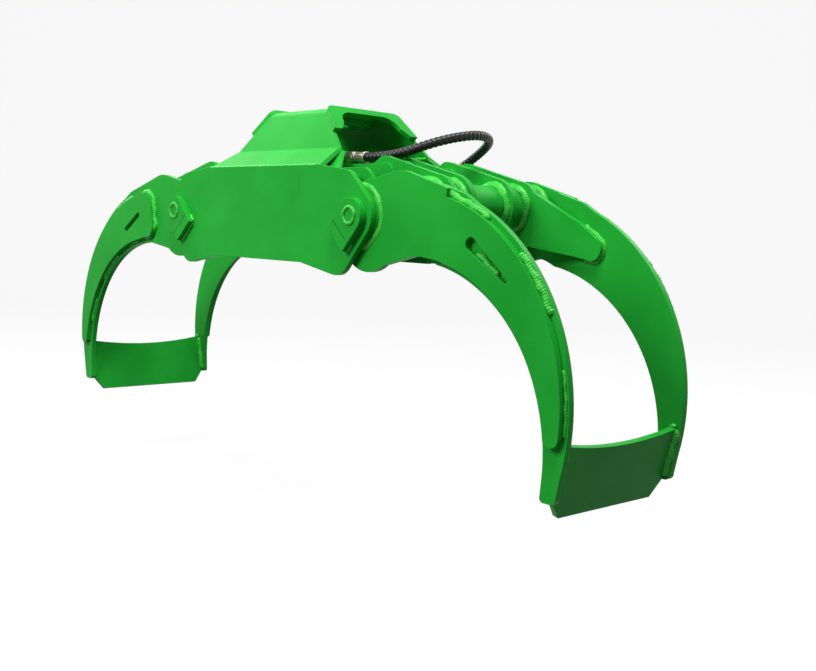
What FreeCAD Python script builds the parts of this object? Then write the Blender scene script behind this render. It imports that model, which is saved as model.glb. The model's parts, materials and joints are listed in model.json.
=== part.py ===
"""Log grapple for an excavator: a hooded frame, two jaws of flame-cut plate that hinge on short
pins, and two hydraulic cylinders side by side that push the jaw levers apart.

The X axis runs from the left jaw to the right jaw, Y runs from front to rear and Z points up.
The origin is the centre of the rotator's seat on top of the hood.  All lengths are millimetres.
"""
import FreeCAD
import Part
import Sketcher
import math
import os

doc = FreeCAD.newDocument("LogGrapple")
V = FreeCAD.Vector

# --------------------------------------------------------------------------------------------
# Driving dimensions
# --------------------------------------------------------------------------------------------

DIMENSIONS = [
    ("pivot_reach", 400, "jaw pivot axis from the middle of the grapple"),
    ("pivot_drop", 280, "jaw pivot axes below the rotator's seat"),
    ("side_face", 246, "outer face of a side plate from the middle"),
    ("plate", 15, "side plates, tines, levers and doublers"),
    ("running_gap", 0.5, "side clearance between a jaw and the frame"),
    ("boss_stand", 4.5, "pivot boss proud of the jaw plate"),
    ("boss_length", 30, "pivot boss over its two faces"),
    ("boss_diameter", 134, "pivot boss"),
    ("cheek_plate", 10, "inner frame plates"),
    ("pin_diameter", 50, "jaw pivot pin"),
    ("bush_wall", 6, "bronze bush in the pivot boss"),
    ("pin_clearance", 0.05, "radial clearance of a pin in its bush"),
    ("side_end_radius", 61, "round end of a side plate about the pivot"),
    ("side_top", 122, "top edge of a side plate above the pivots"),
    ("side_top_reach", 262, "half length of that top edge"),
    ("side_shoulder_reach", 375, "where the top edge turns down to the pivot"),
    ("side_shoulder_height", 107, "height of that corner"),
    ("side_heel_reach", 353, "lowest corner of a side plate before its rounding"),
    ("side_heel_depth", 150, "its depth under the pivots"),
    ("side_heel_radius", 52, "rounding of that corner"),
    ("side_shoulder_radius", 30, "rounding of the upper corner"),
    ("side_belly_reach", 192, "half length of the bottom edge"),
    ("side_belly_depth", 121, "bottom edge under the pivots"),
    ("cheek_top", 118, "top edge of an inner plate above the pivots"),
    ("cheek_end_radius", 72, "round end of an inner plate about the pivot"),
    ("cheek_shoulder", 36, "start of its upper corner inboard of the pivot"),
    ("cheek_corner_radius", 50, "rounding of its upper corner"),
    ("cheek_heel", 70, "start of its bottom edge inboard of the pivot"),
    ("cheek_depth", 110, "bottom edge of an inner plate under the pivots"),
    ("strap_reach", 245, "half length of the straps between side plate and inner plate"),
    ("strap_plate", 12, "those straps"),
    ("cross_tube_diameter", 60, "tube between the inner plates"),
    ("cross_tube_wall", 8, "its wall"),
    ("cross_tube_reach", 130, "its axis from the middle"),
    ("cross_tube_depth", 74, "its axis under the pivots"),
    ("hood_plate", 10, "bent plate of the hood"),
    ("hood_top_width", 246, "flat top of the hood across the grapple"),
    ("hood_bend_radius", 22, "outside of its upper bends"),
    ("hood_bend_width", 320, "hood across its lower bends"),
    ("hood_bend_height", 171, "height of the lower bends above the pivots"),
    ("hood_end_reach", 132, "end of the hood's flat top"),
    ("hood_end_plate", 12, "sloping end plates"),
    ("leg_fall", 64, "lower ends of their legs under the flat top"),
    ("skirt_reach", 248, "half length of the hood's skirts at their feet"),
    ("window_band", 21, "end plate over its window"),
    ("window_leg", 24, "end plate beside its window"),
    ("window_radius", 42, "upper corners of the window"),
    ("rotator_pitch", 173, "bolt circle of the rotator"),
    ("rotator_hole", 17, "holes of that circle"),
    ("rotator_bolts", 6, "number of those holes"),
    ("rotator_bore", 80, "passage for the rotator's hoses"),
    ("rotator_plate", 20, "round plate under the hood's top"),
    ("rotator_plate_diameter", 214, "its diameter"),
    ("flag_radius", 42, "round head of a pin's keeper plate"),
    ("flag_tail", 50, "its straight end from the pin axis"),
    ("flag_plate", 18, "keeper plates and stop blocks"),
    ("flag_slope", 48, "tail below the horizontal, in degrees"),
    ("stop_length", 28, "welded block that stops the tail"),
    ("root_radius", 80, "jaw plate round the pivot"),
    ("hump_reach", 140, "top corner of a jaw plate outboard of the pivot"),
    ("hump_height", 105, "its height above the pivot"),
    ("hump_half", 24, "half length of its rounding"),
    ("brow_reach", 330, "where the top edge turns down to the tine"),
    ("brow_height", 54, "its height"),
    ("lobe_depth", 133, "lowest point of a jaw plate's root"),
    ("lobe_reach", 30, "its reach outboard of the pivot"),
    ("lobe_half", 60, "half length of the lobe's round bottom"),
    ("lobe_rise", 20, "rise of that bottom at its ends"),
    ("back_reach", 177, "centre of the tine's convex edge outboard of the pivot"),
    ("back_depth", 398, "its depth"),
    ("back_radius", 470, "radius of the convex edge"),
    ("mouth_reach", 187, "centre of the tine's concave edge outboard of the pivot"),
    ("mouth_depth", 497, "its depth"),
    ("mouth_radius", 398, "radius of the concave edge"),
    ("blade_reach", 250, "upper end of a separate tine blade"),
    ("tip_reach", 603, "point of a tine"),
    ("tip_depth", 573, "its depth"),
    ("edge_step", 12, "doubled plate inside the tine's edge"),
    ("doubler_step", 20, "doubler inside the left tine's convex edge"),
    ("doubler_reach", 180, "inboard end of a doubler"),
    ("doubler_corner", 24, "its cut corners"),
    ("doubler_corner_radius", 30, "their rounding"),
    ("slot_head_reach", 367, "wide end of the plug weld slot in a right root plate"),
    ("slot_head_depth", 54, "its depth"),
    ("slot_head_radius", 15.5, "its radius"),
    ("slot_foot_reach", 470, "narrow end of that slot"),
    ("slot_foot_depth", 126, "its depth"),
    ("slot_foot_radius", 6, "its radius"),
    ("doubler_slot_reach", 254, "upper end of the slot in a doubler"),
    ("doubler_slot_depth", 17, "its depth"),
    ("doubler_slot_run", 76, "lower end further outboard"),
    ("doubler_slot_fall", 47, "lower end further down"),
    ("doubler_slot_radius", 8, "both ends of that slot"),
    ("tube_reach", 153, "torsion tube outboard of the pivot"),
    ("tube_height", 35, "its height"),
    ("tube_diameter", 102, "torsion tube"),
    ("tube_wall", 12, "its wall"),
    ("lever_height", 100, "cylinder pin above the pivot"),
    ("lever_crown", 48, "lever over the pin's axis"),
    ("lever_crown_half", 14, "half length of its flat top"),
    ("lever_heel", 12, "cut corner of a lever inboard of the pin"),
    ("brow_step", 26, "outer lever's edge beyond the torsion tube's middle"),
    ("lever_shoulder", 80, "lever inboard of the pin"),
    ("lever_depth", 106, "bottom edge of an outer lever"),
    ("lever_end_radius", 72, "inner lever round the torsion tube"),
    ("brace_bend", 222, "first bend of the outer lever's brace"),
    ("brace_run", 104, "length of the slanted part"),
    ("brace_end", 402, "end of the brace"),
    ("brace_drop", 56, "centre of its round end under the pivot"),
    ("brace_end_radius", 30, "that round end"),
    ("cylinder_offset", 106, "cylinder axis from the middle"),
    ("eye_width", 55, "cylinder eyes"),
    ("eye_gap", 1, "side clearance of an eye"),
    ("eye_radius", 40, "cylinder eyes"),
    ("lever_pin_diameter", 45, "cylinder pins"),
    ("pin_head_diameter", 62, "heads and rings of the cylinder pins"),
    ("pin_head", 6, "their thickness"),
    ("barrel_diameter", 115, "cylinder barrel"),
    ("barrel_bore", 90, "its bore"),
    ("barrel_start", 215, "barrel's closed end from its pin"),
    ("barrel_length", 360, "barrel over its tube"),
    ("barrel_cap", 42, "thickness of the closed end"),
    ("lug_half_height", 32, "lug between barrel and eye"),
    ("gland_flange", 20, "gland outside the barrel"),
    ("gland_spigot", 45, "gland inside the barrel"),
    ("rod_diameter", 56, "piston rod"),
    ("slide_gap", 0.3, "radial clearance of rod and piston"),
    ("piston_length", 50, "piston"),
    ("piston_rest", 15, "piston from the cap with the jaws open"),
    ("rod_socket", 58, "rod eye block from its pin"),
    ("port_height", 50, "front port above the cylinder axis"),
    ("port_side", 63, "rear port beside the cylinder axis"),
    ("port_block", 36, "square port blocks"),
    ("port_length", 34, "port blocks along the barrel"),
    ("nut_width", 30, "hose nut over its flats"),
    ("nut_length", 24, "hose nut"),
    ("ferrule_diameter", 29, "crimped ferrule"),
    ("ferrule_length", 44, "its length"),
    ("nipple_diameter", 20, "nipple between port and nut"),
    ("nipple_length", 20, "its length"),
    ("pipe_diameter", 18, "steel pipe of the rear port"),
    ("pipe_reach", 60, "straight part of that pipe"),
    ("pipe_bend", 60, "radius of its bend"),
    ("pipe_slope", 28, "rise of the rear hose end, in degrees"),
    ("hose_diameter", 24, "spiral-guarded hose"),
    ("grip_plate", 15, "plate across the tine tips"),
    ("grip_top_reach", 635, "upper edge of that plate outboard of the pivot"),
    ("grip_top_depth", 450, "its depth"),
    ("grip_bottom_reach", 594, "lower edge outboard of the pivot"),
    ("grip_bottom_depth", 612, "its depth"),
    ("grip_scoop", 18, "sag of the upper edge"),
    ("grip_corner_width", 34, "cut lower corners along the edge"),
    ("grip_corner_height", 44, "cut lower corners up the side"),
]

sheet = doc.addObject("Spreadsheet::Sheet", "Sizes")
for row, (alias, number, meaning) in enumerate(DIMENSIONS, start=1):
    sheet.set("A%d" % row, alias)
    sheet.set("B%d" % row, str(number))
    sheet.set("C%d" % row, meaning)
    sheet.setAlias("B%d" % row, alias)
doc.recompute()


class Size:
    """A length of the sheet, or a sum made from such lengths, with the text that binds it."""

    def __init__(self, value, text):
        self.value = value
        self.text = text

    def __add__(self, other):
        other = as_size(other)
        return Size(self.value + other.value, "(%s + %s)" % (self.text, other.text))

    def __sub__(self, other):
        other = as_size(other)
        return Size(self.value - other.value, "(%s - %s)" % (self.text, other.text))

    def __mul__(self, other):
        other = as_size(other)
        return Size(self.value * other.value, "(%s * %s)" % (self.text, other.text))

    def __truediv__(self, other):
        other = as_size(other)
        return Size(self.value / other.value, "(%s / %s)" % (self.text, other.text))

    def __neg__(self):
        return Size(-self.value, "(0 - %s)" % self.text)

    __radd__ = __add__
    __rmul__ = __mul__

    def __rsub__(self, other):
        return as_size(other) - self

    def root(self):
        return Size(math.sqrt(self.value), "sqrt(%s)" % self.text)

    def sine(self):
        return Size(math.sin(math.radians(self.value)), "sin(%s)" % self.text)

    def cosine(self):
        return Size(math.cos(math.radians(self.value)), "cos(%s)" % self.text)


def as_size(number):
    if isinstance(number, Size):
        return number
    return Size(float(number), "(%r)" % float(number))


class Sheet:
    """Gives each named length of the sheet as a Size."""

    def __getattr__(self, alias):
        return Size(float(sheet.get(alias)), "Sizes.%s" % alias)


S = Sheet()


def hypotenuse(a, b):
    return (a * a + b * b).root()


# --------------------------------------------------------------------------------------------
# Sketches and bodies
# --------------------------------------------------------------------------------------------

UPRIGHT = FreeCAD.Rotation(V(1, 0, 0), 90)
LEVEL = FreeCAD.Rotation()


def new_body(label, x=0, y=0, z=0, turn=UPRIGHT):
    """A named body at its place; an upright body has local X, Y and Z along X, Z and -Y."""
    body = doc.addObject("PartDesign::Body", label)
    body.Label = label
    body.Placement = FreeCAD.Placement(V(0, 0, 0), turn)
    for axis, size in (("x", x), ("y", y), ("z", z)):
        body.setExpression("Placement.Base.%s" % axis, as_size(size).text)
    return body


def origin_feature(body, role):
    return [item for item in body.Origin.OriginFeatures if item.Role == role][0]


def new_sketch(body, name, plane="XY_Plane"):
    sketch = body.newObject("Sketcher::SketchObject", name)
    sketch.AttachmentSupport = (origin_feature(body, plane), [""])
    sketch.MapMode = "FlatFace"
    return sketch


def bind(sketch, kind, size, *where):
    """One dimensional constraint, bound to the sheet."""
    size = as_size(size)
    index = sketch.addConstraint(Sketcher.Constraint(kind, *where, size.value))
    sketch.setExpression("Constraints[%d]" % index, size.text)


def pin_down(sketch, curve, end, point):
    """Holds one end of a curve at a point given by two sizes."""
    for kind, size, axis in (("DistanceX", point[0], -2), ("DistanceY", point[1], -1)):
        size = as_size(size)
        if size.text == "(0.0)":
            sketch.addConstraint(Sketcher.Constraint("PointOnObject", curve, end, axis))
        else:
            bind(sketch, kind, size, -1, 1, curve, end)


def arc_between(start, end, radius):
    """The shorter arc from start to end; a positive radius turns left, a negative one right."""
    a = V(start[0].value, start[1].value, 0)
    b = V(end[0].value, end[1].value, 0)
    side = 1 if radius.value > 0 else -1
    size = abs(radius.value)
    half = (b - a) * 0.5
    rise = math.sqrt(max(size * size - half.Length ** 2, 0))
    normal = V(-half.y, half.x, 0).normalize()
    centre = a + half + normal * rise * side
    angle_a = math.atan2(a.y - centre.y, a.x - centre.x)
    angle_b = math.atan2(b.y - centre.y, b.x - centre.x)
    circle = Part.Circle(centre, V(0, 0, 1), size)
    if side > 0:
        return Part.ArcOfCircle(circle, angle_a, angle_b), 1, 2
    return Part.ArcOfCircle(circle, angle_b, angle_a), 2, 1


def draw_outline(sketch, steps):
    """A closed outline of (x, y, radius) steps; the radius bends the way to the next step."""
    steps = [(as_size(x), as_size(y), r) for x, y, r in steps]
    curves = []
    for number, (x, y, radius) in enumerate(steps):
        following = steps[(number + 1) % len(steps)]
        if radius is None:
            line = Part.LineSegment(V(x.value, y.value, 0),
                                    V(following[0].value, following[1].value, 0))
            curves.append((sketch.addGeometry(line), 1, 2))
        else:
            arc, first, last = arc_between((x, y), following, as_size(radius))
            curves.append((sketch.addGeometry(arc), first, last))
    for number, (curve, first, last) in enumerate(curves):
        after, after_first, _ = curves[(number + 1) % len(curves)]
        sketch.addConstraint(Sketcher.Constraint("Coincident", curve, last, after, after_first))
        x, y, radius = steps[number]
        pin_down(sketch, curve, first, (x, y))
        if radius is not None:
            radius = as_size(radius)
            bind(sketch, "Radius", radius if radius.value > 0 else -radius, curve)


def draw_circle(sketch, x, y, radius):
    x, y, radius = as_size(x), as_size(y), as_size(radius)
    circle = Part.Circle(V(x.value, y.value, 0), V(0, 0, 1), radius.value)
    curve = sketch.addGeometry(circle)
    pin_down(sketch, curve, 3, (x, y))
    bind(sketch, "Radius", radius, curve)


def pad(body, sketch, length, both_ways=False, reverse=False):
    feature = body.newObject("PartDesign::Pad", sketch.Name + "Pad")
    feature.Profile = sketch
    feature.setExpression("Length", as_size(length).text)
    feature.Midplane = both_ways
    feature.Reversed = reverse
    sketch.Visibility = False
    return feature


def cut_through(body, sketch):
    feature = body.newObject("PartDesign::Pocket", sketch.Name + "Cut")
    feature.Profile = sketch
    feature.Type = "ThroughAll"
    feature.Midplane = True
    return feature


def revolve(body, sketch, axis="X_Axis"):
    feature = body.newObject("PartDesign::Revolution", sketch.Name + "Turn")
    feature.Profile = sketch
    feature.ReferenceAxis = (origin_feature(body, axis), [""])
    feature.Angle = 360
    return feature


def upright_plate(label, outline, face, thickness, holes=(), x=0, slot=None):
    """A flame-cut plate that stands along X; it lies from its face (a Y value) towards the front."""
    body = new_body(label, x, face, -S.pivot_drop)
    sketch = new_sketch(body, label + "_outline")
    draw_outline(sketch, outline)
    if slot is not None:
        draw_outline(sketch, slot)
    for hole_x, hole_y, radius in holes:
        draw_circle(sketch, hole_x, hole_y, radius)
    pad(body, sketch, thickness)
    return body


def plate_face(row, outer, thickness):
    """Y of the rear face of a plate whose outer face is this far from the middle."""
    return outer if row == "rear" else -(outer - thickness)


def polar(centre_x, centre_y, radius, degrees):
    """The point at an angle on a circle, with an angle that is a plain number."""
    radians = math.radians(degrees)
    return centre_x + radius * math.cos(radians), centre_y + radius * math.sin(radians)


def mirrored(outline, side):
    """The same outline for the right jaw (side 1) or the left jaw (side -1)."""
    if side > 0:
        return outline
    return [(-as_size(x), y, None if r is None else -as_size(r)) for x, y, r in outline]


def rounded_corner(before, corner, after, radius):
    """The two ends of an arc that rounds a right-hand corner and runs smoothly into both edges."""
    first = hypotenuse(before[0] - corner[0], before[1] - corner[1])
    second = hypotenuse(after[0] - corner[0], after[1] - corner[1])
    back = ((before[0] - corner[0]) / first, (before[1] - corner[1]) / first)
    on = ((after[0] - corner[0]) / second, (after[1] - corner[1]) / second)
    turn = back[0] * on[0] + back[1] * on[1]
    reach = radius * ((1 + turn) / (1 - turn)).root()
    return [(corner[0] + back[0] * reach, corner[1] + back[1] * reach, -radius),
            (corner[0] + on[0] * reach, corner[1] + on[1] * reach, None)]


def both_halves(half):
    """A right half outline, given from the top to the bottom, with its mirror image added."""
    back = [(-half[i][0], half[i][1], half[i - 1][2]) for i in range(len(half) - 1, 0, -1)]
    return half + back + [(-half[0][0], half[0][1], None)]


# --------------------------------------------------------------------------------------------
# Places that several pieces share
# --------------------------------------------------------------------------------------------

ROWS = ("front", "rear")
SIDES = (("right", 1), ("left", -1))
OUTWARD = {"front": -1, "rear": 1}
# Where straight edges meet the round ends of the frame plates, in degrees above the horizontal.
SIDE_END_ANGLES = (42.5, -41.5)
CHEEK_END_ANGLES = (45, -70)
# Where a doubled plate ends on the tine's back and on its mouth, seen from those arcs' centres.
DOUBLED_END_ANGLES = (-4.6, 7.7)
# Where a right root plate steps back from the tine's edge, seen from the same centre.
ROOT_STEP_ANGLE = 76.2

pin_radius = S.pin_diameter / 2
boss_outer = S.side_face - S.plate - S.running_gap
root_face = boss_outer - S.boss_stand
root_back = root_face - S.plate
boss_inner = boss_outer - S.boss_length
cheek_face = boss_inner - S.running_gap
cheek_back = cheek_face - S.cheek_plate
side_back = S.side_face - S.plate
clevis_half = S.eye_width / 2 + S.eye_gap
outer_lever_back = S.cylinder_offset + clevis_half
outer_lever_face = outer_lever_back + S.plate
inner_lever_face = S.cylinder_offset - clevis_half
inner_lever_back = inner_lever_face - S.plate
bush_radius = pin_radius + S.bush_wall
lever_pin_radius = S.lever_pin_diameter / 2
tube_radius = S.tube_diameter / 2
lever_axis_z = S.lever_height - S.pivot_drop


# --------------------------------------------------------------------------------------------
# Frame
# --------------------------------------------------------------------------------------------

def side_plates():
    """The two outer plates that carry the jaw pins."""
    end = S.side_end_radius
    upper = polar(S.pivot_reach, 0, end, SIDE_END_ANGLES[0])
    lower = polar(S.pivot_reach, 0, end, SIDE_END_ANGLES[1])
    top = (S.side_top_reach, S.side_top)
    shoulder = (S.side_shoulder_reach, S.side_shoulder_height)
    heel = (S.side_heel_reach, -S.side_heel_depth)
    belly = (S.side_belly_reach, -S.side_belly_depth)
    half = ([(top[0], top[1], None)]
            + rounded_corner(top, shoulder, upper, S.side_shoulder_radius)
            + [(upper[0], upper[1], -end), (lower[0], lower[1], None)]
            + rounded_corner(lower, heel, belly, S.side_heel_radius)
            + [(belly[0], belly[1], None)])
    outline = both_halves(half)
    holes = [(S.pivot_reach * side, 0, pin_radius) for _, side in SIDES]
    for row in ROWS:
        upright_plate("side_plate_" + row, outline, plate_face(row, S.side_face, S.plate),
                      S.plate, holes)


def cheeks():
    """The two inner plates that carry the inner ends of the pins and the hood."""
    corner = S.cheek_corner_radius
    end = S.cheek_end_radius
    shoulder = S.pivot_reach - S.cheek_shoulder
    turn = polar(shoulder, S.cheek_top - corner, corner, CHEEK_END_ANGLES[0])
    upper = polar(S.pivot_reach, 0, end, CHEEK_END_ANGLES[0])
    lower = polar(S.pivot_reach, 0, end, CHEEK_END_ANGLES[1])
    half = [(shoulder, S.cheek_top, -corner), (turn[0], turn[1], None), (upper[0], upper[1], -end),
            (lower[0], lower[1], None), (S.pivot_reach - S.cheek_heel, -S.cheek_depth, None)]
    outline = both_halves(half)
    holes = [(S.pivot_reach * side, 0, pin_radius) for _, side in SIDES]
    for row in ROWS:
        upright_plate("cheek_" + row, outline, plate_face(row, cheek_face, S.cheek_plate),
                      S.cheek_plate, holes)


def frame_straps():
    """Flat straps that close each pair of plates to a box beam, above and below."""
    width = side_back - cheek_face
    for row in ROWS:
        straps = []
        for name, height in (("top", S.cheek_top - S.strap_plate), ("bottom", -S.cheek_depth)):
            strap = doc.addObject("Part::Box", "strap_%s_%s" % (name, row))
            strap.setExpression("Length", (S.strap_reach * 2).text)
            strap.setExpression("Width", width.text)
            strap.setExpression("Height", S.strap_plate.text)
            base = cheek_face if row == "rear" else -side_back
            strap.setExpression("Placement.Base.x", (-S.strap_reach).text)
            strap.setExpression("Placement.Base.y", base.text)
            strap.setExpression("Placement.Base.z", (height - S.pivot_drop).text)
            straps.append(strap)
        group = doc.addObject("Part::Compound", "frame_straps_" + row)
        group.Label = "frame_straps_" + row
        group.Links = straps


def cross_tubes():
    """Two round tubes that hold the inner plates apart under the cylinders."""
    for side_name, side in SIDES:
        body = new_body("cross_tube_" + side_name, S.cross_tube_reach * side, 0,
                        -S.pivot_drop - S.cross_tube_depth)
        sketch = new_sketch(body, "cross_tube_section_" + side_name)
        draw_circle(sketch, 0, 0, S.cross_tube_diameter / 2)
        draw_circle(sketch, 0, 0, S.cross_tube_diameter / 2 - S.cross_tube_wall)
        pad(body, sketch, cheek_back * 2, both_ways=True)


def hood():
    """The bent plate over the cylinders, with the rotator's bolt circle in its flat top."""
    top_half = S.hood_top_width / 2
    bend_half = S.hood_bend_width / 2
    foot_half = S.side_face - S.plate / 2
    rise = S.pivot_drop - S.hood_bend_height
    fall = S.hood_bend_height - S.side_top
    lean = bend_half - top_half
    flare = foot_half - bend_half
    # The inner face is the outer one moved in by the thickness, so each inner corner is shifted
    # along by the thickness times the tangent of half the bend.
    lean_length = hypotenuse(lean, rise)
    flare_length = hypotenuse(flare, fall)
    top_shift = S.hood_plate * ((lean_length - lean) / rise)
    lean_turn = (lean / lean_length * (flare / flare_length)
                 + rise / lean_length * (fall / flare_length))
    lean_cross = (rise / lean_length * (flare / flare_length)
                  - lean / lean_length * (fall / flare_length))
    bend_shift = S.hood_plate * (1 - lean_turn) / lean_cross
    inner_bend_y = bend_half - S.hood_plate * rise / lean_length + bend_shift * lean / lean_length
    inner_bend_z = (-rise - S.hood_plate * lean / lean_length
                    - bend_shift * rise / lean_length)
    body = new_body("hood", 0, 0, 0, LEVEL)
    section = new_sketch(body, "hood_section", "YZ_Plane")
    foot_in = foot_half - S.hood_plate * flare_length / fall
    # The tangent of half the upper bend is the shift over the plate's thickness.
    bend = S.hood_bend_radius
    inner = bend - S.hood_plate
    run = bend * (top_shift / S.hood_plate)
    inner_run = inner * (top_shift / S.hood_plate)
    inner_top = top_half - top_shift
    half = [(top_half - run, 0, -bend),
            (top_half + run * lean / lean_length, -run * rise / lean_length, None),
            (bend_half, -rise, None), (foot_half, -rise - fall, None),
            (foot_in, -rise - fall, None), (inner_bend_y, inner_bend_z, None),
            (inner_top + inner_run * lean / lean_length,
             -S.hood_plate - inner_run * rise / lean_length, inner),
            (inner_top - inner_run, -S.hood_plate, None)]
    draw_outline(section, both_halves(half))
    reach = S.side_top_reach
    pad(body, section, reach * 2, both_ways=True)
    # The ends slope with the end plates down to the lower bends and steeper from there.
    seat = S.hood_end_reach - S.hood_end_plate * math.sqrt(2)
    for name, side in SIDES:
        ends = new_sketch(body, "hood_end_cut_" + name, "XZ_Plane")
        trim = [(seat, 0, None), (seat + rise, -rise, None), (S.skirt_reach, -rise - fall, None),
                (reach + 1, -rise - fall, None), (reach + 1, 1, None), (seat, 1, None)]
        draw_outline(ends, mirrored(trim, side))
        cut_through(body, ends)
    top = new_sketch(body, "rotator_holes", "XY_Plane")
    draw_circle(top, 0, 0, S.rotator_bore / 2)
    for number in range(int(S.rotator_bolts.value)):
        x, y = polar(0, 0, S.rotator_pitch / 2, 360 * number / S.rotator_bolts.value)
        draw_circle(top, x, y, S.rotator_hole / 2)
    drill = body.newObject("PartDesign::Pocket", "rotator_holes_cut")
    drill.Profile = top
    drill.setExpression("Length", (S.hood_plate * 2).text)
    hood_webs(inner_bend_y, inner_bend_z, (flare / flare_length, fall / flare_length), seat)


def hood_webs(bend_y, bend_z, skirt, seat):
    """Plates from the hood's lower bends down to the inner plates' top edges."""
    top = S.cheek_top - S.pivot_drop
    lap = S.hood_plate / 2
    lap_y = bend_y + skirt[0] * lap
    lap_z = bend_z - skirt[1] * lap
    # The inner face runs parallel to the outer one.
    back_y = cheek_back - (cheek_face - lap_y) * ((bend_z - top) / (lap_z - top))
    for row in ROWS:
        side = OUTWARD[row]
        label = "hood_web_" + row
        body = new_body(label, 0, 0, 0, LEVEL)
        section = new_sketch(body, label + "_section", "YZ_Plane")
        corners = [(bend_y, bend_z), (lap_y, lap_z), (cheek_face, top), (cheek_back, top),
                   (back_y, bend_z)]
        draw_outline(section, [(as_size(y) * side, z, None) for y, z in corners])
        pad(body, section, S.pivot_drop * 4, both_ways=True)
        for name, end in SIDES:
            cut = new_sketch(body, "%s_end_%s" % (label, name), "XZ_Plane")
            far = S.pivot_drop * 3
            trim = [(seat, 0, None), (seat - top, top, None), (far, top, None), (far, 0, None)]
            draw_outline(cut, mirrored(trim, end))
            cut_through(body, cut)


def hood_ends():
    """Flat end plates that slope at 45 degrees, each with an arched window for the hoses."""
    slope = math.sqrt(2)
    top_half = S.hood_top_width / 2
    rise = S.pivot_drop - S.hood_bend_height
    lean = (S.hood_bend_width - S.hood_top_width) / 2
    lean_length = hypotenuse(lean, rise)
    bend = S.hood_bend_radius
    run = bend * (lean_length - lean) / rise
    foot_half = top_half + lean * (S.leg_fall / rise)
    window_half = foot_half - S.window_leg
    arch = S.window_radius
    arch_half = top_half - S.window_leg
    sill = -S.leg_fall * slope
    crown = -S.window_band
    half = [(top_half - run, 0, -bend),
            (top_half + run * lean / lean_length, -run * rise / lean_length * slope, None),
            (foot_half, sill, None), (window_half, sill, None),
            (arch_half, crown - arch, arch), (arch_half - arch, crown, None)]
    outline = both_halves(half)
    for name, side in SIDES:
        facing = FreeCAD.Rotation(V(0, side, 0), V(-side, 0, 1), V(side, 0, 1), "ZXY")
        body = new_body("hood_end_" + name, (S.hood_end_reach - S.hood_end_plate * slope) * side,
                        0, 0, facing)
        sketch = new_sketch(body, "hood_end_outline_" + name)
        draw_outline(sketch, outline)
        pad(body, sketch, S.hood_end_plate)


def rotator_plate():
    """The thick round plate under the hood's top that takes the rotator's bolts."""
    body = new_body("rotator_plate", 0, 0, -S.hood_plate - S.rotator_plate, LEVEL)
    sketch = new_sketch(body, "rotator_plate_outline")
    draw_circle(sketch, 0, 0, S.rotator_plate_diameter / 2)
    draw_circle(sketch, 0, 0, S.rotator_bore / 2)
    for number in range(int(S.rotator_bolts.value)):
        x, y = polar(0, 0, S.rotator_pitch / 2, 360 * number / S.rotator_bolts.value)
        draw_circle(sketch, x, y, S.rotator_hole / 2)
    pad(body, sketch, S.rotator_plate)


def keeper_plates():
    """Keeper plates on the outer pin ends, and the welded blocks that stop them turning."""
    keepers = []
    stops = []
    for row in ROWS:
        face = S.side_face + S.flag_plate if row == "rear" else -S.side_face
        for name, side in SIDES:
            along = (S.flag_slope.cosine() * -side, S.flag_slope.sine() * -1)
            across = (S.flag_slope.sine() * side, S.flag_slope.cosine() * -1)
            turn = S.flag_radius * side

            def place(forward, aside):
                return (along[0] * forward + across[0] * aside,
                        along[1] * forward + across[1] * aside)

            half = S.flag_radius
            head = [place(0, half), place(0, -half), place(S.flag_tail, -half),
                    place(S.flag_tail, half)]
            crown = place(-half, 0)
            label = "%s_%s" % (row, name)
            keeper = new_body("keeper_" + label, S.pivot_reach * side, face, -S.pivot_drop)
            sketch = new_sketch(keeper, "keeper_outline_" + label)
            draw_outline(sketch, [(head[0][0], head[0][1], turn), (crown[0], crown[1], turn),
                                  (head[1][0], head[1][1], None), (head[2][0], head[2][1], None),
                                  (head[3][0], head[3][1], None)])
            draw_circle(sketch, 0, 0, pin_radius)
            pad(keeper, sketch, S.flag_plate)
            keepers.append(keeper)
            stop = new_body("stop_" + label, S.pivot_reach * side, face, -S.pivot_drop)
            sketch = new_sketch(stop, "stop_outline_" + label)
            far = S.flag_tail + S.stop_length
            corners = [place(S.flag_tail, half), place(S.flag_tail, -half), place(far, -half),
                       place(far, half)]
            draw_outline(sketch, [(x, y, None) for x, y in corners])
            pad(stop, sketch, S.flag_plate)
            stops.append(stop)
    for label, links in (("pin_keepers", keepers), ("keeper_stops", stops)):
        group = doc.addObject("Part::Compound", label)
        group.Label = label
        group.Links = links


def pivot_pins():
    """The four short pins on which the jaws turn."""
    inner = cheek_back
    for row in ROWS:
        for name, side in SIDES:
            label = "pivot_pin_%s_%s" % (name, row)
            outer = S.side_face + S.flag_plate
            body = new_body(label, S.pivot_reach * side, outer if row == "rear" else -inner,
                            -S.pivot_drop)
            sketch = new_sketch(body, label + "_section")
            draw_circle(sketch, 0, 0, pin_radius)
            pad(body, sketch, outer - inner)


# --------------------------------------------------------------------------------------------
# Jaws: outlines relative to the pivot axis, for the right jaw
# --------------------------------------------------------------------------------------------

def root_top():
    """The upper edge of a jaw plate, from the pivot's round end over the hump to the brow."""
    start = polar(0, 0, S.root_radius, 98)
    hump = S.hump_half
    return [(start[0], start[1], None),
            (S.hump_reach - hump, S.hump_height, S.hump_reach * -0.7),
            (S.hump_reach + hump, S.hump_height - hump / 8, None),
            (S.brow_reach, S.brow_height, None)]


def root_bottom():
    """The lower edge of a jaw plate, from the tine's mouth round the lobe to the pivot's end."""
    rear = S.lobe_reach - S.lobe_half
    end = polar(0, 0, S.root_radius, 195)
    return [(S.lobe_reach + S.lobe_half, -S.lobe_depth + S.lobe_rise, S.lobe_half * -1.7),
            (rear, -S.lobe_depth + S.lobe_rise, None),
            (end[0], end[1], -S.root_radius)]


def along_brow(reach):
    """A point of the straight edge from the hump to the brow."""
    start = root_top()[2]
    fall = (S.brow_height - start[1]) / (S.brow_reach - start[0])
    return reach, start[1] + fall * (reach - start[0]), None


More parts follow.
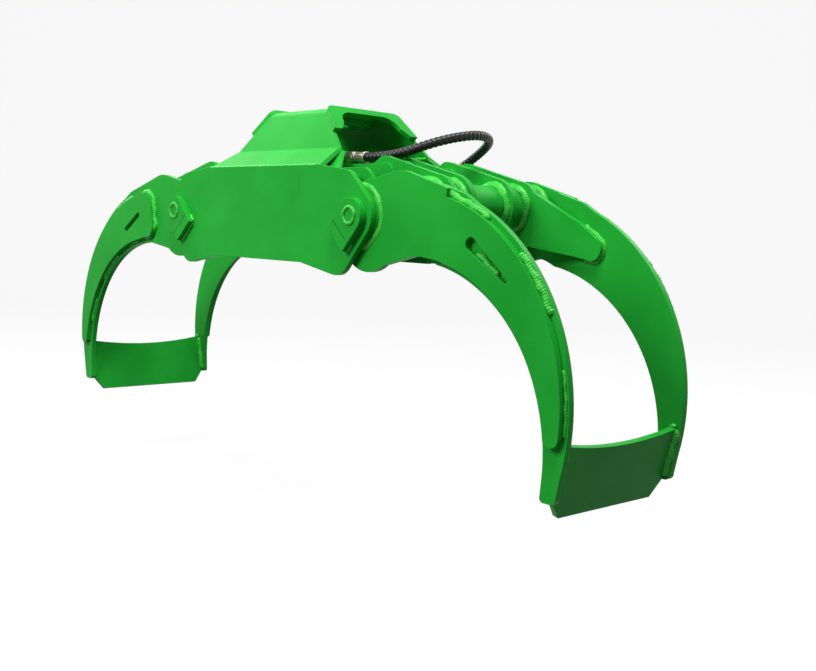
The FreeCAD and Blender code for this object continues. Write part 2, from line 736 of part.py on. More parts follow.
def full_tine():
    """The outline of a tine in one piece with its root."""
    shoulder = polar(S.back_reach, -S.back_depth, S.back_radius, 66)
    cheek = polar(S.back_reach, -S.back_depth, S.back_radius, -14)
    mouth_low = polar(S.mouth_reach, -S.mouth_depth, S.mouth_radius, -4)
    mouth_high = polar(S.mouth_reach, -S.mouth_depth, S.mouth_radius, 89)
    return (root_top()
            + [(shoulder[0], shoulder[1], -S.back_radius), (cheek[0], cheek[1], None),
               (S.tip_reach + S.plate * 1.4, -S.tip_depth + S.plate, -S.plate),
               (S.tip_reach + S.plate * 0.5, -S.tip_depth, None),
               (S.tip_reach - S.plate * 0.85, -S.tip_depth, S.plate * -0.7),
               (S.tip_reach - S.plate * 1.45, -S.tip_depth + S.plate * 0.6, None),
               (mouth_low[0], mouth_low[1], S.mouth_radius), (mouth_high[0], mouth_high[1], None)]
            + root_bottom())


def round_end(first, second):
    """The radius of a nearly half-round end between two corners of an outline."""
    return hypotenuse(first[0] - second[0], first[1] - second[1]) * -0.52


def half_tine():
    """A jaw plate that ends half way down the tine, inside its edges."""
    back = S.back_radius - S.edge_step
    mouth = S.mouth_radius + S.edge_step
    step = polar(S.back_reach, -S.back_depth, back, ROOT_STEP_ANGLE)
    low_back = polar(S.back_reach, -S.back_depth, back, DOUBLED_END_ANGLES[0])
    low_mouth = polar(S.mouth_reach, -S.mouth_depth, mouth, DOUBLED_END_ANGLES[1])
    high_mouth = polar(S.mouth_reach, -S.mouth_depth, mouth, 89)
    return (root_top()[:3]
            + [along_brow(step[0] + S.edge_step / 3), (step[0], step[1], -back),
               (low_back[0], low_back[1], round_end(low_back, low_mouth)),
               (low_mouth[0], low_mouth[1], mouth), (high_mouth[0], high_mouth[1], None)]
            + root_bottom())


def blade():
    """A tine without a root."""
    inset = S.blade_reach - S.mouth_reach
    high_mouth = (S.mouth_radius * S.mouth_radius - inset * inset).root() - S.mouth_depth
    outline = full_tine()
    return [along_brow(S.blade_reach)] + outline[3:11] + [(S.blade_reach, high_mouth, None)]


def doubler():
    """The plate welded outside the left tine, clear of the frame's round end."""
    back = S.back_radius - S.doubler_step
    mouth = S.mouth_radius + S.edge_step
    high_back = polar(S.back_reach, -S.back_depth, back, 74)
    low_back = polar(S.back_reach, -S.back_depth, back, DOUBLED_END_ANGLES[0])
    low_mouth = polar(S.mouth_reach, -S.mouth_depth, mouth, DOUBLED_END_ANGLES[1])
    high_mouth = polar(S.mouth_reach, -S.mouth_depth, mouth, 79)
    inboard = S.doubler_reach
    corner = S.doubler_corner
    rounding = -S.doubler_corner_radius
    return [(high_back[0], high_back[1], -back),
            (low_back[0], low_back[1], round_end(low_back, low_mouth)),
            (low_mouth[0], low_mouth[1], mouth), (high_mouth[0], high_mouth[1], None),
            (inboard + corner, high_mouth[1] + corner / 2, rounding),
            (inboard - corner / 2, high_mouth[1] + corner * 2, None),
            (inboard, high_back[1] - corner / 3, rounding),
            (inboard + corner * 1.25, high_back[1] + corner * 0.75, None)]


def tapered_slot(head, head_radius, foot, foot_radius):
    """A long hole between two round ends."""
    run = foot[0] - head[0]
    fall = head[1] - foot[1]
    length = hypotenuse(run, fall)
    along = (run / length, -(fall / length))
    aside = (fall / length, run / length)

    def beside(centre, direction, reach):
        return centre[0] + direction[0] * reach, centre[1] + direction[1] * reach

    steps = [(beside(head, aside, -head_radius), -head_radius),
             (beside(head, along, -head_radius), -head_radius),
             (beside(head, aside, head_radius), None),
             (beside(foot, aside, foot_radius), -foot_radius),
             (beside(foot, along, foot_radius), -foot_radius),
             (beside(foot, aside, -foot_radius), None)]
    return [(point[0], point[1], bend) for point, bend in steps]


def root_slot():
    """The slot through which a right root plate is welded to its tine."""
    return tapered_slot((S.slot_head_reach, -S.slot_head_depth), S.slot_head_radius,
                        (S.slot_foot_reach, -S.slot_foot_depth), S.slot_foot_radius)


def doubler_slot():
    """The narrower slot through which a doubler is welded to its tine."""
    head = (S.doubler_slot_reach, -S.doubler_slot_depth)
    foot = (head[0] + S.doubler_slot_run, head[1] - S.doubler_slot_fall)
    return tapered_slot(head, S.doubler_slot_radius, foot, S.doubler_slot_radius)


def lever_crown():
    """The rounded top of a lever over its pin, with a slight fall to the outboard side."""
    top = S.lever_height + S.lever_crown
    half = S.lever_crown_half
    return [(half * -1.5, top, half * -4), (half / 2, top - half / 6, None)]


def lever_heel():
    """The inboard edge of a lever and its cut upper corner."""
    heel = S.lever_heel
    return [(-S.lever_shoulder, 0, None), (-S.lever_shoulder, S.lever_height + heel / 3, -heel),
            (-S.lever_shoulder + heel / 2, S.lever_height + heel * 1.2, None)]


def inner_lever():
    """The short lever plate between cylinder and middle, welded round the torsion tube."""
    end = S.lever_end_radius
    high = polar(S.tube_reach, S.tube_height, end, 77)
    low = polar(S.tube_reach, S.tube_height, end, -100)
    root_low = polar(0, 0, S.root_radius, 250)
    return (lever_crown()
            + [(high[0], high[1], -end), (low[0], low[1], None),
               (root_low[0], root_low[1], -S.root_radius)]
            + lever_heel())


def outer_lever():
    """The lever plate outside the cylinder, with the brace that runs out to the tine."""
    end = S.brace_end_radius
    step = S.brow_step
    hub_x = S.brace_end - end
    high = polar(hub_x, -S.brace_drop, end, 50)
    low = polar(hub_x, -S.brace_drop, end, -86)
    root_low = polar(0, 0, S.root_radius, 240)
    brow = S.tube_reach + S.lever_end_radius
    return (lever_crown()
            + [(S.tube_reach + step, S.lever_height + step / 13, step * -2.3),
               (brow, S.lever_height - step, None),
               (high[0], high[1], -end), (low[0], low[1], None),
               (brow, -S.lever_depth + step * 1.8, step * 2.3),
               (S.tube_reach, -S.lever_depth, None),
               (0, -S.lever_depth, -S.root_radius * 1.6),
               (root_low[0], root_low[1], -S.root_radius)]
            + lever_heel())


# --------------------------------------------------------------------------------------------
# Jaws: pieces
# --------------------------------------------------------------------------------------------

def jaw_plate(label, outline, row, outer, side, holes=(), slot=None):
    holes = [(as_size(x) * side, y, radius) for x, y, radius in holes]
    slot = None if slot is None else mirrored(slot, side)
    return upright_plate(label, mirrored(outline, side), plate_face(row, outer, S.plate), S.plate,
                         holes, S.pivot_reach * side, slot)


def braced_lever(name, side, row, landing):
    """An outer lever bent outwards so that its end lies on the tine's inner face."""
    outward = -OUTWARD[row]
    label = "%s_outer_lever_%s" % (name, row)
    start = S.plate
    rise = landing - outer_lever_face
    turn = S.plate * (hypotenuse(S.brace_run, rise) - S.brace_run) / rise
    first = S.brace_bend
    second = S.brace_bend + S.brace_run
    left = -S.lever_shoulder - start
    right = S.brace_end + start
    # The sketch lies in the plan; its Y axis is the body's Z, which points to the front.
    strip = [(left, 0, None), (first, 0, None), (second, rise, None), (right, rise, None),
             (right, rise - S.plate, None), (second + turn, rise - S.plate, None),
             (first + turn, -S.plate, None), (left, -S.plate, None)]
    strip = [(x, y * outward, r) for x, y, r in [(a, as_size(b), c) for a, b, c in strip]]
    body = new_body(label, S.pivot_reach * side, outer_lever_face * OUTWARD[row], -S.pivot_drop)
    plan = new_sketch(body, label + "_plan", "XZ_Plane")
    draw_outline(plan, mirrored(strip, side))
    pad(body, plan, S.lever_height * 4, both_ways=True)
    trim = new_sketch(body, label + "_outline")
    margin = S.lever_height * 3
    draw_outline(trim, [(-margin * 2, -margin, None), (margin * 2, -margin, None),
                        (margin * 2, margin, None), (-margin * 2, margin, None)])
    draw_outline(trim, mirrored(outer_lever(), side))
    cut_through(body, trim)
    bores = new_sketch(body, label + "_bores")
    draw_circle(bores, S.tube_reach * side, S.tube_height, tube_radius)
    draw_circle(bores, 0, S.lever_height, lever_pin_radius)
    cut_through(body, bores)


def torsion_tube(name, side):
    """The round tube that ties the plates of a jaw together."""
    body = new_body(name + "_torsion_tube", (S.pivot_reach + S.tube_reach) * side, 0,
                    S.tube_height - S.pivot_drop)
    sketch = new_sketch(body, name + "_torsion_tube_section")
    draw_circle(sketch, 0, 0, tube_radius)
    draw_circle(sketch, 0, 0, tube_radius - S.tube_wall)
    pad(body, sketch, root_back * 2, both_ways=True)


def pivot_hub(name, side):
    """Bosses through the jaw plates, each with its bronze bush."""
    bushes = []
    for row in ROWS:
        face = boss_outer if row == "rear" else -boss_inner
        boss = new_body("%s_pivot_boss_%s" % (name, row), S.pivot_reach * side, face, -S.pivot_drop)
        sketch = new_sketch(boss, "%s_boss_section_%s" % (name, row))
        draw_circle(sketch, 0, 0, S.boss_diameter / 2)
        draw_circle(sketch, 0, 0, bush_radius)
        pad(boss, sketch, S.boss_length)
        bush = new_body("%s_bush_%s" % (name, row), S.pivot_reach * side, face, -S.pivot_drop)
        sketch = new_sketch(bush, "%s_bush_section_%s" % (name, row))
        draw_circle(sketch, 0, 0, bush_radius)
        draw_circle(sketch, 0, 0, pin_radius + S.pin_clearance)
        pad(bush, sketch, S.boss_length)
        bushes.append(bush)
    group = doc.addObject("Part::Compound", name + "_pivot_bushes")
    group.Label = name + "_pivot_bushes"
    group.Links = bushes


def lever_pins(name, side):
    """The two cylinder pins of a jaw, with a head inside and a ring outside."""
    pins = []
    inner = inner_lever_back - S.pin_head
    outer = outer_lever_face + S.pin_head
    for row in ROWS:
        body = new_body("%s_lever_pin_%s" % (name, row), S.pivot_reach * side, 0, lever_axis_z)
        sketch = new_sketch(body, "%s_lever_pin_section_%s" % (name, row), "YZ_Plane")
        head = S.pin_head_diameter / 2
        # The sketch's X axis is the body's Y (up) and its Y axis the body's Z (to the front).
        way = -OUTWARD[row]
        outline = [(0, inner, None), (head, inner, None), (head, inner_lever_back, None),
                   (lever_pin_radius, inner_lever_back, None),
                   (lever_pin_radius, outer_lever_face, None), (head, outer_lever_face, None),
                   (head, outer, None), (0, outer, None)]
        draw_outline(sketch, [(x, as_size(y) * way, r) for x, y, r in outline])
        revolve(body, sketch, "Z_Axis")
        pins.append(body)
    group = doc.addObject("Part::Compound", name + "_lever_pins")
    group.Label = name + "_lever_pins"
    group.Links = pins


def grip_plate(name, side, inner_half):
    """The plate across the tine tips, with a sagging upper edge and cut lower corners."""
    run = S.grip_top_reach - S.grip_bottom_reach
    fall = S.grip_bottom_depth - S.grip_top_depth
    height = hypotenuse(run, fall)
    lean = math.degrees(math.atan2(run.value, fall.value))
    upright = FreeCAD.Rotation(V(0, side, 0), V(0, 0, 1), V(side, 0, 0), "ZXY")
    facing = FreeCAD.Rotation(V(0, 1, 0), lean * side) * upright
    body = new_body(name + "_grip_plate", (S.pivot_reach + S.grip_bottom_reach) * side, 0,
                    -S.pivot_drop - S.grip_bottom_depth, facing)
    sketch = new_sketch(body, name + "_grip_outline")
    half = inner_half
    sag_radius = (half * half + S.grip_scoop * S.grip_scoop) / (S.grip_scoop * 2)
    outline = [(half - S.grip_corner_width, 0, None), (half, S.grip_corner_height, None),
               (half, height, -sag_radius), (-half, height, None),
               (-half, S.grip_corner_height, None), (-half + S.grip_corner_width, 0, None)]
    draw_outline(sketch, outline)
    pad(body, sketch, S.grip_plate, reverse=True)


def jaws():
    boss_hole = (0, 0, S.boss_diameter / 2)
    tube_hole = (S.tube_reach, S.tube_height, tube_radius)
    pin_hole = (0, S.lever_height, lever_pin_radius)
    for row in ROWS:
        jaw_plate("right_root_plate_" + row, half_tine(), row, root_face, 1, [boss_hole],
                  root_slot())
        jaw_plate("right_tine_" + row, blade(), row, root_back, 1)
        jaw_plate("left_tine_" + row, full_tine(), row, root_face, -1, [boss_hole])
        jaw_plate("left_doubler_" + row, doubler(), row, root_face + S.plate, -1, (),
                  doubler_slot())
    for name, side in SIDES:
        for row in ROWS:
            jaw_plate("%s_inner_lever_%s" % (name, row), inner_lever(), row, inner_lever_face, side,
                      [tube_hole, pin_hole])
            braced_lever(name, side, row, root_back - S.plate if side > 0 else root_back)
        torsion_tube(name, side)
        pivot_hub(name, side)
        lever_pins(name, side)
        grip_plate(name, side, root_back - S.plate if side > 0 else root_back)


# --------------------------------------------------------------------------------------------
# Cylinders
# --------------------------------------------------------------------------------------------

def barrel(row):
    """A barrel with its closed end, the lug that reaches the right lever, and its port block."""
    out = OUTWARD[row]
    body = new_body("barrel_" + row, S.pivot_reach, S.cylinder_offset * out, lever_axis_z, LEVEL)
    bore = S.barrel_bore / 2
    skin = S.barrel_diameter / 2
    start = -S.barrel_start
    end = start - S.barrel_length
    floor = start - S.barrel_cap
    shell = new_sketch(body, "barrel_section_" + row, "XZ_Plane")
    draw_outline(shell, [(start, 0, None), (start, skin, None), (end, skin, None),
                         (end, bore, None), (floor, bore, None), (floor, 0, None)])
    revolve(body, shell)
    lug = new_sketch(body, "barrel_lug_" + row, "XZ_Plane")
    low = S.lug_half_height
    reach = (S.eye_radius * S.eye_radius - low * low).root()
    draw_outline(lug, [(-reach, low, None), (start, low, None), (start, -low, None),
                       (-reach, -low, S.eye_radius), (S.eye_radius, 0, S.eye_radius)])
    pad(body, lug, S.eye_width, both_ways=True)
    block = new_sketch(body, "port_block_" + row, "YZ_Plane")
    half = S.port_block / 2
    if row == "front":
        corners = [(-half, S.port_height - half), (half, S.port_height - half),
                   (half, S.port_height + half), (-half, S.port_height + half)]
    else:
        side = S.port_side
        corners = [(side - half, -half), (side + half, -half), (side + half, half),
                   (side - half, half)]
    draw_outline(block, [(x, y, None) for x, y in corners])
    pad(body, block, S.port_length, reverse=True)
    block.AttachmentOffset = FreeCAD.Placement(V(0, 0, start.value), FreeCAD.Rotation())
    block.setExpression("AttachmentOffset.Base.z", start.text)
    bore_hole = new_sketch(body, "eye_bore_" + row, "XZ_Plane")
    draw_circle(bore_hole, 0, 0, lever_pin_radius + S.pin_clearance)
    cut_through(body, bore_hole)


def gland(row):
    body = new_body("gland_" + row, S.pivot_reach, S.cylinder_offset * OUTWARD[row], lever_axis_z,
                    LEVEL)
    end = -S.barrel_start - S.barrel_length
    inner = S.rod_diameter / 2 + S.slide_gap
    sketch = new_sketch(body, "gland_section_" + row, "XZ_Plane")
    draw_outline(sketch, [(end + S.gland_spigot, inner, None),
                          (end + S.gland_spigot, S.barrel_bore / 2, None),
                          (end, S.barrel_bore / 2, None), (end, S.barrel_diameter / 2, None),
                          (end - S.gland_flange, S.barrel_diameter / 2, None),
                          (end - S.gland_flange, inner, None)])
    revolve(body, sketch)


def rod(row):
    """A piston rod with its eye on the left lever and its piston inside the barrel."""
    body = new_body("rod_" + row, -S.pivot_reach, S.cylinder_offset * OUTWARD[row], lever_axis_z,
                    LEVEL)
    far = S.pivot_reach * 2 - S.barrel_start - S.barrel_cap - S.piston_rest
    near = far - S.piston_length
    piston = S.barrel_bore / 2 - S.slide_gap
    sketch = new_sketch(body, "rod_section_" + row, "XZ_Plane")
    draw_outline(sketch, [(S.rod_socket, 0, None), (S.rod_socket, S.rod_diameter / 2, None),
                          (near, S.rod_diameter / 2, None), (near, piston, None),
                          (far, piston, None), (far, 0, None)])
    revolve(body, sketch)
    eye = new_sketch(body, "rod_eye_" + row, "XZ_Plane")
    draw_outline(eye, [(0, S.eye_radius, S.eye_radius), (-S.eye_radius, 0, S.eye_radius),
                       (0, -S.eye_radius, None), (S.rod_socket, -S.lug_half_height, None),
                       (S.rod_socket, S.lug_half_height, None)])
    pad(body, eye, S.eye_width, both_ways=True)
    bore = new_sketch(body, "rod_eye_bore_" + row, "XZ_Plane")
    draw_circle(bore, 0, 0, lever_pin_radius + S.pin_clearance)
    cut_through(body, bore)


# --------------------------------------------------------------------------------------------
# Hose and its fittings
# --------------------------------------------------------------------------------------------

# The middle line of the hose from the front fitting to the rear one.
HOSE_ROUTE = [V(273, -106, -130), V(378, -106, -130), V(474, -58, -92), V(509, 34, -69),
              V(489, 116, -69), V(426, 169, -91.8), V(350.9, 169, -131.7)]
HOSE_BEND = 0.45


def fitting(label, x, y, z, turn):
    """Nipple, swivel nut and crimped ferrule in a row along local X."""
    body = new_body(label, x, y, z, turn)
    turned = new_sketch(body, label + "_section", "XZ_Plane")
    nipple = S.nipple_diameter / 2
    ferrule = S.ferrule_diameter / 2
    nut_end = S.nipple_length + S.nut_length
    end = nut_end + S.ferrule_length
    draw_outline(turned, [(0, 0, None), (end, 0, None), (end, ferrule, None),
                          (nut_end, ferrule, None), (nut_end, nipple, None), (0, nipple, None)])
    revolve(body, turned)
    nut = new_sketch(body, label + "_nut", "YZ_Plane")
    corner = S.nut_width / math.sqrt(3)
    draw_outline(nut, [polar(0, 0, corner, 60 * number) + (None,) for number in range(6)])
    nut.setExpression("AttachmentOffset.Base.z", S.nipple_length.text)
    pad(body, nut, S.nut_length)


def port_pipe():
    """The bent steel pipe between the rear port block and the rear hose fitting."""
    start = S.pivot_reach - S.barrel_start
    body = new_body("port_pipe", start, S.cylinder_offset + S.port_side, lever_axis_z, LEVEL)
    spine = new_sketch(body, "port_pipe_line", "XZ_Plane")
    bend_x = S.pipe_reach + S.pipe_slope.sine() * S.pipe_bend
    bend_z = S.pipe_bend - S.pipe_slope.cosine() * S.pipe_bend
    first = spine.addGeometry(Part.LineSegment(V(0, 0, 0), V(S.pipe_reach.value, 0, 0)))
    arc, _, _ = arc_between((S.pipe_reach, as_size(0)), (bend_x, bend_z), S.pipe_bend)
    second = spine.addGeometry(arc)
    spine.addConstraint(Sketcher.Constraint("Coincident", first, 2, second, 1))
    pin_down(spine, first, 1, (0, 0))
    pin_down(spine, first, 2, (S.pipe_reach, 0))
    pin_down(spine, second, 2, (bend_x, bend_z))
    bind(spine, "Radius", S.pipe_bend, second)
    section = new_sketch(body, "port_pipe_section", "YZ_Plane")
    draw_circle(section, 0, 0, S.pipe_diameter / 2)
    sweep = body.newObject("PartDesign::AdditivePipe", "port_pipe_sweep")
    sweep.Profile = section
    sweep.Spine = (spine, [])
    return start + bend_x, lever_axis_z + bend_z


def rounded_route(points, share):
    """Straight runs joined by tangent arcs, each as wide as its shorter run allows."""
    edges = []
    start = points[0]
    for before, corner, after in zip(points, points[1:], points[2:]):
        way_in = (corner - before).normalize()
        way_out = (after - corner).normalize()
        half_turn = way_in.getAngle(way_out) / 2
        setback = share * min((corner - before).Length, (after - corner).Length)
        radius = setback / math.tan(half_turn)
        print("hose turn %.0f degrees, radius %.0f mm" % (math.degrees(2 * half_turn), radius))
        arc_start = corner - way_in * setback
        arc_end = corner + way_out * setback
        inward = (way_out - way_in).normalize()
        middle = corner + inward * (radius / math.cos(half_turn) - radius)
        edges.append(Part.LineSegment(start, arc_start).toShape())
        edges.append(Part.Arc(arc_start, middle, arc_end).toShape())
        start = arc_end
    edges.append(Part.LineSegment(start, points[-1]).toShape())
    return Part.Wire(edges)


def hose():
    route = rounded_route(HOSE_ROUTE, HOSE_BEND)
    radius = S.hose_diameter.value / 2
    ring = Part.Wire([Part.Circle(HOSE_ROUTE[0], V(1, 0, 0), radius).toShape()])
    tube = doc.addObject("Part::Feature", "hose")
    tube.Label = "hose"
    tube.Shape = route.makePipeShell([ring], True, False)
    expected = math.pi * radius ** 2 * route.Length
    print("hose length %.0f mm, volume ratio %.4f" % (route.Length, tube.Shape.Volume / expected))


def hose_and_fittings():
    fitting("hose_fitting_front", S.pivot_reach - S.barrel_start, -S.cylinder_offset,
            lever_axis_z + S.port_height, LEVEL)
    x, z = port_pipe()
    fitting("hose_fitting_rear", x, S.cylinder_offset + S.port_side, z,
            FreeCAD.Rotation(V(0, -1, 0), S.pipe_slope.value))
    hose()


side_plates()
cheeks()
frame_straps()
cross_tubes()
hood()
hood_ends()
rotator_plate()
keeper_plates()
pivot_pins()
jaws()
for row in ROWS:
    barrel(row)
    gland(row)
    rod(row)
hose_and_fittings()
doc.recompute()

GROUPED = ("stop_", "keeper_front", "keeper_rear", "left_bush_", "right_bush_", "left_lever_pin_",
           "right_lever_pin_")
os.makedirs("parts", exist_ok=True)
nodes = [item for item in doc.Objects
         if item.TypeId in ("PartDesign::Body", "Part::Compound", "Part::Feature")
         and not item.Label.startswith(GROUPED)]
for item in doc.Objects:
    if "Invalid" in item.State or "Error" in item.State:
        print("broken:", item.Label, item.State)
for node in nodes:
    shape = node.Shape
    if not shape.isValid():
        print("not valid:", node.Label)
    shape.exportStep("parts/%s.step" % node.Label)
    print(node.Label, len(shape.Solids), round(shape.Volume))
print(len(nodes), "nodes")
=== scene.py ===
"""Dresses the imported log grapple: enamel, weld seams, hose guard, hose fittings and the studio."""

import json
import math

import bmesh
import bpy
import numpy as np
from bpy.props import FloatProperty, FloatVectorProperty, IntProperty, PointerProperty
from mathutils import Matrix, Vector


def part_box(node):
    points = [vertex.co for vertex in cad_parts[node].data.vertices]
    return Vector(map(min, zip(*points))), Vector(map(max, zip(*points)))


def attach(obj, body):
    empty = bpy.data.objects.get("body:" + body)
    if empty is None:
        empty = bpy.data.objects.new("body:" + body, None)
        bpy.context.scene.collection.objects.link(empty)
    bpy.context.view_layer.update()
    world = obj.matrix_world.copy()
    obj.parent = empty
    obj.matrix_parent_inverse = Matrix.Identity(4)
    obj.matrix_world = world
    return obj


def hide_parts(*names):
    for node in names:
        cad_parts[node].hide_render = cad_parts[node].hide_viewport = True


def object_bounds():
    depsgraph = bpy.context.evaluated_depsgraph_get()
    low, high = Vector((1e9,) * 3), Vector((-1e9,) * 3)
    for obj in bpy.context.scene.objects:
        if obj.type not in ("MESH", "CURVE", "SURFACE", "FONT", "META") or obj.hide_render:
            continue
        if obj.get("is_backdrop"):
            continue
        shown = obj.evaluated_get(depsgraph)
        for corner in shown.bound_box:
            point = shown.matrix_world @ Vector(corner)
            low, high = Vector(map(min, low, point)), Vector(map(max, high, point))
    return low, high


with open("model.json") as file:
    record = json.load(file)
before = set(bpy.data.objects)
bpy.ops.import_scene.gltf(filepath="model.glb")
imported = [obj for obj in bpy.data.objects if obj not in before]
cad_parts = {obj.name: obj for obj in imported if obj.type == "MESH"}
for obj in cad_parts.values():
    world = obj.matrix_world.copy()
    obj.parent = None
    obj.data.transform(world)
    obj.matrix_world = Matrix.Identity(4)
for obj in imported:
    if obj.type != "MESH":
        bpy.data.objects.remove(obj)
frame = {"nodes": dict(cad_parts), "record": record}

bl_info = {
    "name": "Log Grapple Finish",
    "version": (1, 0, 0),
    "blender": (4, 5, 0),
    "location": "View3D > Sidebar > Grapple",
    "description": "Weld seams, enamel, hose and studio for a hydraulic log grapple",
    "category": "Object",
}

MM = 0.001
ROWS = (-1, 1)
SIDES = (1, -1)


def linear(code):
    """Turns an sRGB hex colour into the linear values that a shader takes."""
    parts = np.array([int(code[i:i + 2], 16) for i in (0, 2, 4)]) / 255
    return tuple(np.where(parts <= 0.04045, parts / 12.92, ((parts + 0.055) / 1.055) ** 2.4))


def length_prop(name, value, description):
    return FloatProperty(name=name, description=description, default=value, min=0,
                         unit="LENGTH", subtype="DISTANCE")


def colour_prop(name, code, description):
    return FloatVectorProperty(name=name, description=description, default=linear(code), size=3,
                               min=0, max=1, subtype="COLOR")


class GrappleSizes(bpy.types.PropertyGroup):
    fillet: length_prop("Fillet weld", 6 * MM, "Half width of the weld seams on the jaws")
    light_fillet: length_prop("Light fillet", 4 * MM, "Half width of the seams on the frame")
    tube_fillet: length_prop("Tube fillet", 9.5 * MM, "Half width of the torsion tubes' seams")
    ripple: length_prop("Weld ripple", 6.5 * MM, "Distance between the ripples of a seam")
    guard_pitch: length_prop("Guard pitch", 13 * MM, "Pitch of the spiral guard on the hose")
    guard_ridge: length_prop("Guard ridge", 2.1 * MM, "Depth of the groove between two turns")
    hose_core: length_prop("Hose", 19.6 * MM, "Hose diameter under its guard")
    edge: length_prop("Edge rounding", 2 * MM, "Rounding of the painted plate edges")
    facets: IntProperty(name="Facets", description="Points round a weld seam", default=10, min=6)


class GrappleColours(bpy.types.PropertyGroup):
    enamel: colour_prop("Enamel", "21A433", "Green machine enamel")
    # Paler edge colour: where the enamel runs thin, and a painted highlight along the edges.
    enamel_edge_pale_and_highlight: colour_prop("Thin enamel", "36B343", "The same enamel where it runs thin on edges")
    enamel_deep: colour_prop("Thick enamel", "19952B", "The same enamel where it lies thick")
    seam: colour_prop("Enamel on welds", "1AA62E", "Enamel over the weld seams")
    # Painted glints: pale patches on the welds stand in for highlights off their ripples.
    seam_painted_glint: colour_prop("Pale enamel on welds", "42B63C", "Enamel thinned on a weld's ripples")
    # Painted shade: the dark colour of the strips laid where the narrow gaps lie in shadow.
    gap: colour_prop("Enamel in gaps", "07260B", "Enamel in the shade of a narrow gap")
    guard: colour_prop("Hose guard", "050506", "Black polythene spiral")
    zinc: colour_prop("Zinc", "A9A595", "Zinc plating on the hose ends")
    chrome: colour_prop("Chrome", "C9CBCE", "Hard chrome on the piston rods")
    steel: colour_prop("Bright steel", "9A9C9E", "Turned and ground steel")
    bronze: colour_prop("Bronze", "A87B45", "Cast bronze bushes")
    floor: colour_prop("Floor", "F4F4F2", "Studio floor and wall")


# ---------------------------------------------------------------------------------------------
# Surfaces
# ---------------------------------------------------------------------------------------------

# How far a ripple's crown trails its foot, as a share of the ripple.
CRESCENT = 0.45
# The seams' slow waver: the length of one radian on an open seam, in metres.
WAVER = 34 * MM


def full_turn(count):
    """Angles of a closed ring of points."""
    return np.linspace(0, 2 * np.pi, count, endpoint=False)


def grid_faces(count, around, closed):
    """Quads between neighbouring rings of a grid; a closed path joins its last ring to its first."""
    i = np.arange(count if closed else count - 1)[:, None]
    j = np.arange(around)[None, :]
    here = i * around
    there = (i + 1) % count * around
    after = (j + 1) % around
    return np.stack([here + j, here + after, there + after, there + j], -1).reshape(-1, 4)


def closed_surface(rings, closed):
    """Points, quads and triangles of a grid of rings; an open path gets a pole at each end."""
    count, around = rings.shape[:2]
    points = rings.reshape(-1, 3)
    quads = grid_faces(count, around, closed)
    if closed:
        return points, quads, np.zeros((0, 3), int)
    points = np.concatenate([points, [rings[0].mean(0), rings[-1].mean(0)]])
    j = np.arange(around)
    after = (j + 1) % around
    last = (count - 1) * around
    poles = np.full(around, count * around)
    triangles = np.concatenate([np.stack([after, j, poles], -1),
                                np.stack([last + j, last + after, poles + 1], -1)])
    return points, quads, triangles


def make_piece(name, parts, material, body, flat=False):
    """One mesh object at the origin from several surfaces, with its normals turned outwards."""
    points, faces, offset = [], [], 0
    for part_points, quads, triangles in parts:
        points.append(part_points)
        faces += (quads + offset).tolist() + (triangles + offset).tolist()
        offset += len(part_points)
    mesh = bpy.data.meshes.new(name)
    mesh.from_pydata(np.concatenate(points), [], faces)
    mesh.update()
    work = bmesh.new()
    work.from_mesh(mesh)
    bmesh.ops.recalc_face_normals(work, faces=work.faces)
    work.to_mesh(mesh)
    work.free()
    mesh.polygons.foreach_set("use_smooth", np.full(len(mesh.polygons), not flat))
    mesh.materials.append(material)
    piece = bpy.data.objects.new(name, mesh)
    bpy.context.collection.objects.link(piece)
    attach(piece, body)
    return piece


def resample(path, step, closed, carried=None):
    """Evenly spaced points along a polyline, by linear interpolation over its length; rows of
    carried values, one for each point of the polyline, are spread in the same way."""
    path = np.asarray(path, float)
    values = path if carried is None else np.concatenate([path, carried], axis=1)
    if closed:
        values = np.concatenate([values, values[:1]])
    steps = np.linalg.norm(np.diff(values[:, :3], axis=0), axis=1)
    run = np.concatenate([[0], np.cumsum(steps)])
    count = max(int(run[-1] / step), 8)
    where = np.linspace(0, run[-1], count, endpoint=not closed)
    spread = np.stack([np.interp(where, run, column) for column in values.T], -1)
    return spread, where


def tangents(points, closed):
    """Central differences along the path, made unit length."""
    if closed:
        way = np.roll(points, -1, 0) - np.roll(points, 1, 0)
    else:
        way = np.gradient(points, axis=0)
    return way / np.linalg.norm(way, axis=1, keepdims=True)


